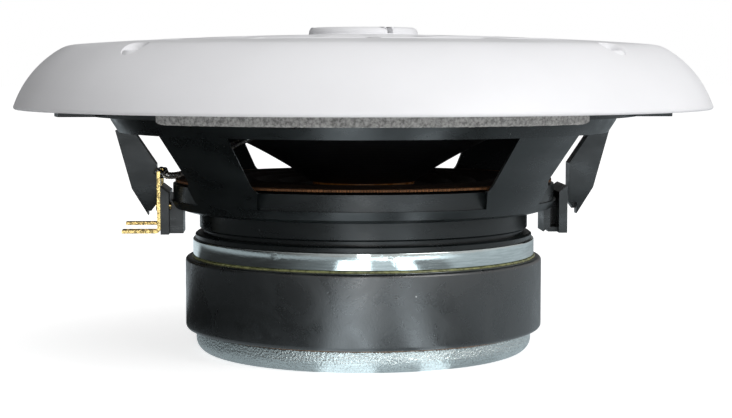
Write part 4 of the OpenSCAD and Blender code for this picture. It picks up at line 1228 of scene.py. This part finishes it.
class BuildCone(bpy.types.Operator):
    """Makes the cone, the surround and the spider"""

    bl_idname = "loudspeaker.cone"
    bl_label = "Cone and suspension"

    def execute(self, context):
        s, f = settings(context).cone, settings(context).finishes
        neck_r, cone_top = high("coil_former").x, high("cone")
        line = cone_line(s, neck_r, cone_top.x, cone_top.z)
        piece("moulded_cone", [turned(line, 288)], cone_plastic(), "cone_set", ["cone"])
        gap, lap = 0.0002, 0.0004
        roll_in = cone_top.x + gap
        a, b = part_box("surround")
        line = surround_line(s, cone_top.x - s.lip_w + lap, roll_in, b.x, a.z)
        roll = piece("half_roll", [turned(line, 288)], rubber(), None, ["surround"])
        radial_blend(roll)
        b = high("spider")
        line = spider_line(s, neck_r, b.x, b.z - s.spider_t)
        cloth = piece("waved_spider", [turned(line, 288)], resin_cloth(f), None, ["spider"])
        radial_blend(cloth)
        dress("coil_former", thin_film("amber_film", (0.42, 0.16, 0.03), 0.3))
        dress("voice_coil", winding())
        return {"FINISHED"}


class BuildTweeter(bpy.types.Operator):
    """Makes the tweeter on its post, with its capacitor"""

    bl_idname = "loudspeaker.tweeter"
    bl_label = "Tweeter"

    def execute(self, context):
        s = settings(context).tweeter
        nickel = bright_metal("nickel_steel", (0.66, 0.62, 0.56), 0.2)
        self.cup(s, nickel)
        self.face(s)
        self.dome(s, thin_film("dome_film", (0.20, 0.22, 0.26), 0.25))
        self.core(nickel)
        self.post(s)
        self.capacitor()
        dress("tweeter_coil", winding())
        return {"FINISHED"}

    def cup(self, s, nickel):
        """The motor's turned cup."""
        a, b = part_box("tweeter_cup")
        line = rounded([(0, a.z, 0), (b.x, a.z, 0.0008), (b.x, b.z, 0.0002), (s.cup_bore, b.z, 0.0002),
            (s.cup_bore, a.z + s.cup_floor, 0.0005), (0, a.z + s.cup_floor, 0)], 5)
        cup = turned(line, 144, closed=False)
        piece("motor_cup", [cup], nickel, "frame", ["tweeter_cup"])

    def core(self, nickel):
        """The magnet and the pole, as discs in the cup."""
        for node in ("tweeter_magnet", "tweeter_pole"):
            a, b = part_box(node)
            disc = disc_of(b.x, a.z, b.z, 0.0003)
            piece(node + "_disc", [disc], nickel, "frame", [node])

    def face(self, s):
        """The face plate: a turned ring whose upper face slants down to the opening."""
        a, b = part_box("tweeter_plate")
        lip = s.face_bore
        line = rounded([(lip, a.z, 0.0001), (b.x, a.z, 0.0003), (b.x, b.z, 0.0008),
            (lip + s.face_flare, b.z, 0.0005), (lip, a.z + s.face_lip, 0.0002)], 5, closed=True)
        black = thin_film("tweeter_black", (0.018, 0.018, 0.02), 0.38)
        piece("tweeter_face", [turned(line, 192)], black, "frame", ["tweeter_plate"])

    def dome(self, s, finish):
        """The dome is a cap of a ball, of radius (r squared + rise squared) / (2 rise). The film between it
        and the cup is half a wave."""
        t, wall, hem = s.film_t, 0.0003, 0.00005
        a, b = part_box("tweeter_dome")
        r, rise = b.x, b.z - a.z - t
        ball = (r * r + rise * rise) / (2 * rise)
        run = np.linspace(0, r, 28)
        under = a.z + rise - ball + np.sqrt(ball * ball - run * run)
        skin = np.stack([run, under + t], -1)
        inside = np.stack([run[:-1] * (1 - wall / r), under[:-1]], -1)[::-1]
        line = np.concatenate([skin, [(r, a.z), (r - wall, a.z)], inside])
        cap = turned(line, 144, closed=False)
        piece("film_dome", [cap], finish, "dome_set", ["tweeter_dome"])
        a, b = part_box("tweeter_film")
        start, mid = r + hem, (r + s.roll_out) / 2
        half = mid - start
        arc = lambda radius, turn: np.stack([mid + radius * np.cos(turn), a.z + radius * np.sin(turn)], -1)
        below = arc(half - t, np.linspace(math.pi, 0, 16))
        above = arc(half, np.linspace(math.radians(20), math.radians(160), 16))
        rim = [(b.x, a.z), (b.x, a.z + t)]
        line = np.concatenate([[(start, a.z)], below, rim, above, [(start, a.z + t)]])
        film = piece("wave_film", [turned(line, 144)], finish, None, ["tweeter_film"])
        radial_blend(film)

    def post(self, s):
        """The hollow post: a foot in the pole's hole, a wide seat on the pole and a stem to the tweeter."""
        a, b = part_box("tweeter_post")
        pole_z = high("back_plate").z
        seat_z = pole_z + s.seat_t
        line = rounded([(s.post_bore, a.z, 0.0001), (s.foot_r, a.z, 0.0002), (s.foot_r, pole_z, 0),
            (s.seat_r, pole_z, 0.0001), (s.seat_r, seat_z, 0.0003), (s.post_r, seat_z, 0.0004),
            (s.post_r, b.z, 0.0003), (s.post_bore, b.z, 0.0001)], 5, closed=True)
        steel = bright_metal("post_steel", (0.56, 0.57, 0.58), 0.3, 0.002)
        piece("hollow_post", [turned(line, 96)], steel, "frame", ["tweeter_post"])

    def capacitor(self):
        """A can in a shrunk sleeve, with a groove rolled in near its top and a sunk lid."""
        a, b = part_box("tweeter_capacitor")
        r, top = b.x, b.z
        line = rounded([(0, a.z, 0), (r * 0.8, a.z, 0.0002), (r, a.z + 0.0004, 0.0003),
            (r, top - 0.0022, 0.0003), (r * 0.93, top - 0.0018, 0.0003), (r, top - 0.0014, 0.0003),
            (r, top, 0.0004), (r * 0.7, top, 0.0002), (r * 0.66, top - 0.0003, 0.0001),
            (0, top - 0.0003, 0)], 4)
        sleeve = thin_film("capacitor_sleeve", (0.03, 0.07, 0.22), 0.28)
        can = moved(turned(line, 72, closed=False), (0, (a.y + b.y) / 2, 0))
        piece("capacitor_can", [can], sleeve, "frame", ["tweeter_capacitor"])


class BuildScrews(bpy.types.Operator):
    """Makes the screws that hold the front and the basket"""

    bl_idname = "loudspeaker.screws"
    bl_label = "Screws"

    def execute(self, context):
        steel = bright_metal("screw_steel", (0.55, 0.56, 0.57), 0.25)
        softened("grille_screws", "front_screws", steel, 0.00015)
        softened("basket_screws", "floor_screws", steel, 0.0003)
        return {"FINISHED"}


# share of the brightest band that gloss sees round the object, by degrees from the front to the right
WINDOW_BANDS = ((-180, 0.17), (-158, 0.30), (-142, 0.28), (-134, 0.02), (-116, 0.005), (-60, 0.006),
    (-46, 0.02), (-28, 0.06), (-19, 0.10), (-16, 1), (0, 1), (2, 0.24), (15.5, 0.25), (17.5, 1), (26, 1),
    (28, 0.13), (32, 0.08), (46, 0.08), (52, 0.18), (120, 0.19), (150, 0.13), (180, 0.15))


class BuildStage(bpy.types.Operator):
    """Sets the camera, the pale floor and the lamps"""

    bl_idname = "loudspeaker.stage"
    bl_label = "Camera, floor and lamps"

    def execute(self, context):
        s = settings(context).stage
        self.camera(context, s)
        self.floor(context, s)
        self.sky(context, s)
        self.lamp(context, "key_lamp", s.key, (0.75, -0.85, 0.75), (0, 0, 0.04), 0.7, 0.7)
        self.lamp(context, "top_lamp", s.top, (0.1, -0.1, 1.2), (0, 0, 0.05), 1.0, 1.0)
        self.lamp(context, "front_strip", s.front, (-0.05, -1.1, 0.25), (0, 0, 0.03), 0.12, 0.7)
        context.scene.view_settings.view_transform = "Standard"
        return {"FINISHED"}

    def camera(self, context, s):
        """The camera stands at its distance and height, turned by its angle round the axis, and looks
        slightly down."""
        data = bpy.data.cameras.new("camera")
        data.lens = s.lens
        data.sensor_width = 36
        data.clip_start, data.clip_end = 0.01, 20
        obj = bpy.data.objects.new("camera", data)
        obj.location = (-s.distance * math.sin(s.around), -s.distance * math.cos(s.around), s.height)
        obj.rotation_euler = (math.pi / 2 - s.pitch, 0, -s.around - s.swing)
        context.scene.collection.objects.link(obj)
        context.scene.camera = obj

    def floor(self, context, s):
        """A wide pale floor. The camera sees it nearly white, with the object's shadow. Gloss on the object
        sees the dim room on its left, two bright windows in front and the pale room on its right."""
        reach = 6.0
        x, y = np.meshgrid((-reach, reach), (-reach, reach))
        mesh = bpy.data.meshes.new("floor")
        mesh.from_pydata(np.stack([x, y, 0 * x], -1).reshape(-1, 3).tolist(), [], [(0, 1, 3, 2)])
        floor = bpy.data.objects.new("floor", mesh)
        context.scene.collection.objects.link(floor)
        m = Finish("floor_white", Roughness=0.9)
        rays = m.add("ShaderNodeLightPath").outputs
        camera, glossy = rays["Is Camera Ray"], rays["Is Glossy Ray"]
        place, distance = m.axes(), m.from_axis()
        angle = m.sum(place[0], m.times(place[1], -1.0), "ARCTAN2")
        bands = m.add("ShaderNodeValToRGB", Fac=m.span(angle, -math.pi, math.pi, smooth=False))
        self.stops(bands.color_ramp)
        # close to the object the bands fade into a plain grey, and far away into one wide pale sector
        beside = m.span(distance, 0.05, 0.072, s.near_floor, 0.0)
        near = m.mix(beside, bands.outputs["Color"], (0.22, 0.22, 0.22))
        far = m.times(m.span(angle, -0.3, 0.2, 0.15, 1.0), m.span(angle, 0.4, 1.2, 1.0, 0.2))
        seen = m.mix(m.span(distance, 0.3, 0.6), near, m.grey(far))
        seen = m.mix(1.0, seen, (0.88, 1.0, 1.07), "MULTIPLY")
        # the light that it throws back is dimmer on the left
        pale = m.mix(camera, m.grey(m.span(angle, -1.9, 0.2, 0.62, 0.97)), (0.8, 0.8, 0.8))
        m.set(Base_Color=m.mix(glossy, pale, (0, 0, 0)), Emission_Color=m.mix(glossy, (1, 1, 1), seen),
            Emission_Strength=m.sum(m.times(camera, s.floor_white), m.times(glossy, s.windows)))
        m.material.cycles.emission_sampling = "NONE"
        mesh.materials.append(m.material)

    def stops(self, ramp):
        """Puts the bands on the ramp. A ramp sorts its stops when one moves, so the places come first."""
        while len(ramp.elements) < len(WINDOW_BANDS):
            ramp.elements.new(0.5)
        for element, (degrees, value) in zip(ramp.elements, WINDOW_BANDS):
            element.position = (degrees + 180) / 360
        for element, (degrees, value) in zip(ramp.elements, WINDOW_BANDS):
            element.color = (value, value, value, 1.0)

    def sky(self, context, s):
        """White for the camera. For light and gloss it is brightest in front on the right and dim on the
        left: the strength follows the ray's direction along a slanting axis."""
        world = bpy.data.worlds.new("studio")
        context.scene.world = world
        world.use_nodes = True
        w = Nodes(world.node_tree)
        towards = w.add("ShaderNodeTexCoord").outputs["Generated"]
        slant = w.vector("DOT_PRODUCT", towards, Vector((0.75, -0.45, 0.48)).normalized())["Value"]
        side = w.span(slant, -0.7, 0.7, s.sky_dim, s.sky)
        camera = w.add("ShaderNodeLightPath").outputs["Is Camera Ray"]
        strength = w.span(camera, 0.0, 1.0, side, 1.0, smooth=False)
        white = w.add("ShaderNodeBackground", Color=(1, 1, 1), Strength=strength)
        w.add("ShaderNodeOutputWorld", Surface=white.outputs[0])

    def lamp(self, context, name, power, place, aim, width, tall):
        """A rectangular lamp that points at the object."""
        data = bpy.data.lights.new(name, "AREA")
        data.energy = power
        data.shape = "RECTANGLE"
        data.size, data.size_y = width, tall
        obj = bpy.data.objects.new(name, data)
        obj.location = place
        obj.rotation_euler = (Vector(aim) - Vector(place)).to_track_quat("-Z", "Y").to_euler()
        context.scene.collection.objects.link(obj)


class LoudspeakerSettings(bpy.types.PropertyGroup):
    """All settings, in groups."""

    front: PointerProperty(type=FrontSizes)
    gasket: PointerProperty(type=GasketSizes)
    motor: PointerProperty(type=MotorSizes)
    cone: PointerProperty(type=ConeSizes)
    tweeter: PointerProperty(type=TweeterSizes)
    finishes: PointerProperty(type=Finishes)
    stage: PointerProperty(type=StageSizes)


BUILDERS = (BuildFront, BuildGasket, BuildBasket, BuildTerminals, BuildLeads, BuildMotor, BuildCone,
    BuildTweeter, BuildScrews, BuildStage)


class LoudspeakerPanel(bpy.types.Panel):
    """Lists the pieces and their settings"""

    bl_idname = "VIEW3D_PT_loudspeaker"
    bl_label = "Loudspeaker"
    bl_space_type = "VIEW_3D"
    bl_region_type = "UI"
    bl_category = "Loudspeaker"

    def draw(self, context):
        column = self.layout.column()
        for builder in BUILDERS:
            column.operator(builder.bl_idname)
        for group in LoudspeakerSettings.__annotations__:
            box = self.layout.box()
            values = getattr(settings(context), group)
            for key in values.__annotations__:
                box.prop(values, key)


CLASSES = (FrontSizes, GasketSizes, MotorSizes, ConeSizes, TweeterSizes, Finishes, StageSizes,
    LoudspeakerSettings, *BUILDERS, LoudspeakerPanel)


def register():
    """Registers the classes and the scene's settings."""
    for cls in CLASSES:
        bpy.utils.register_class(cls)
    bpy.types.Scene.loudspeaker = PointerProperty(type=LoudspeakerSettings)


def unregister():
    """Takes the classes and the scene's settings away."""
    del bpy.types.Scene.loudspeaker
    for cls in reversed(CLASSES):
        bpy.utils.unregister_class(cls)


def main():
    """Registers the add-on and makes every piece."""
    register()
    for builder in BUILDERS:
        group, word = builder.bl_idname.split(".")
        getattr(getattr(bpy.ops, group), word)()


if __name__ == "__main__":
    main()
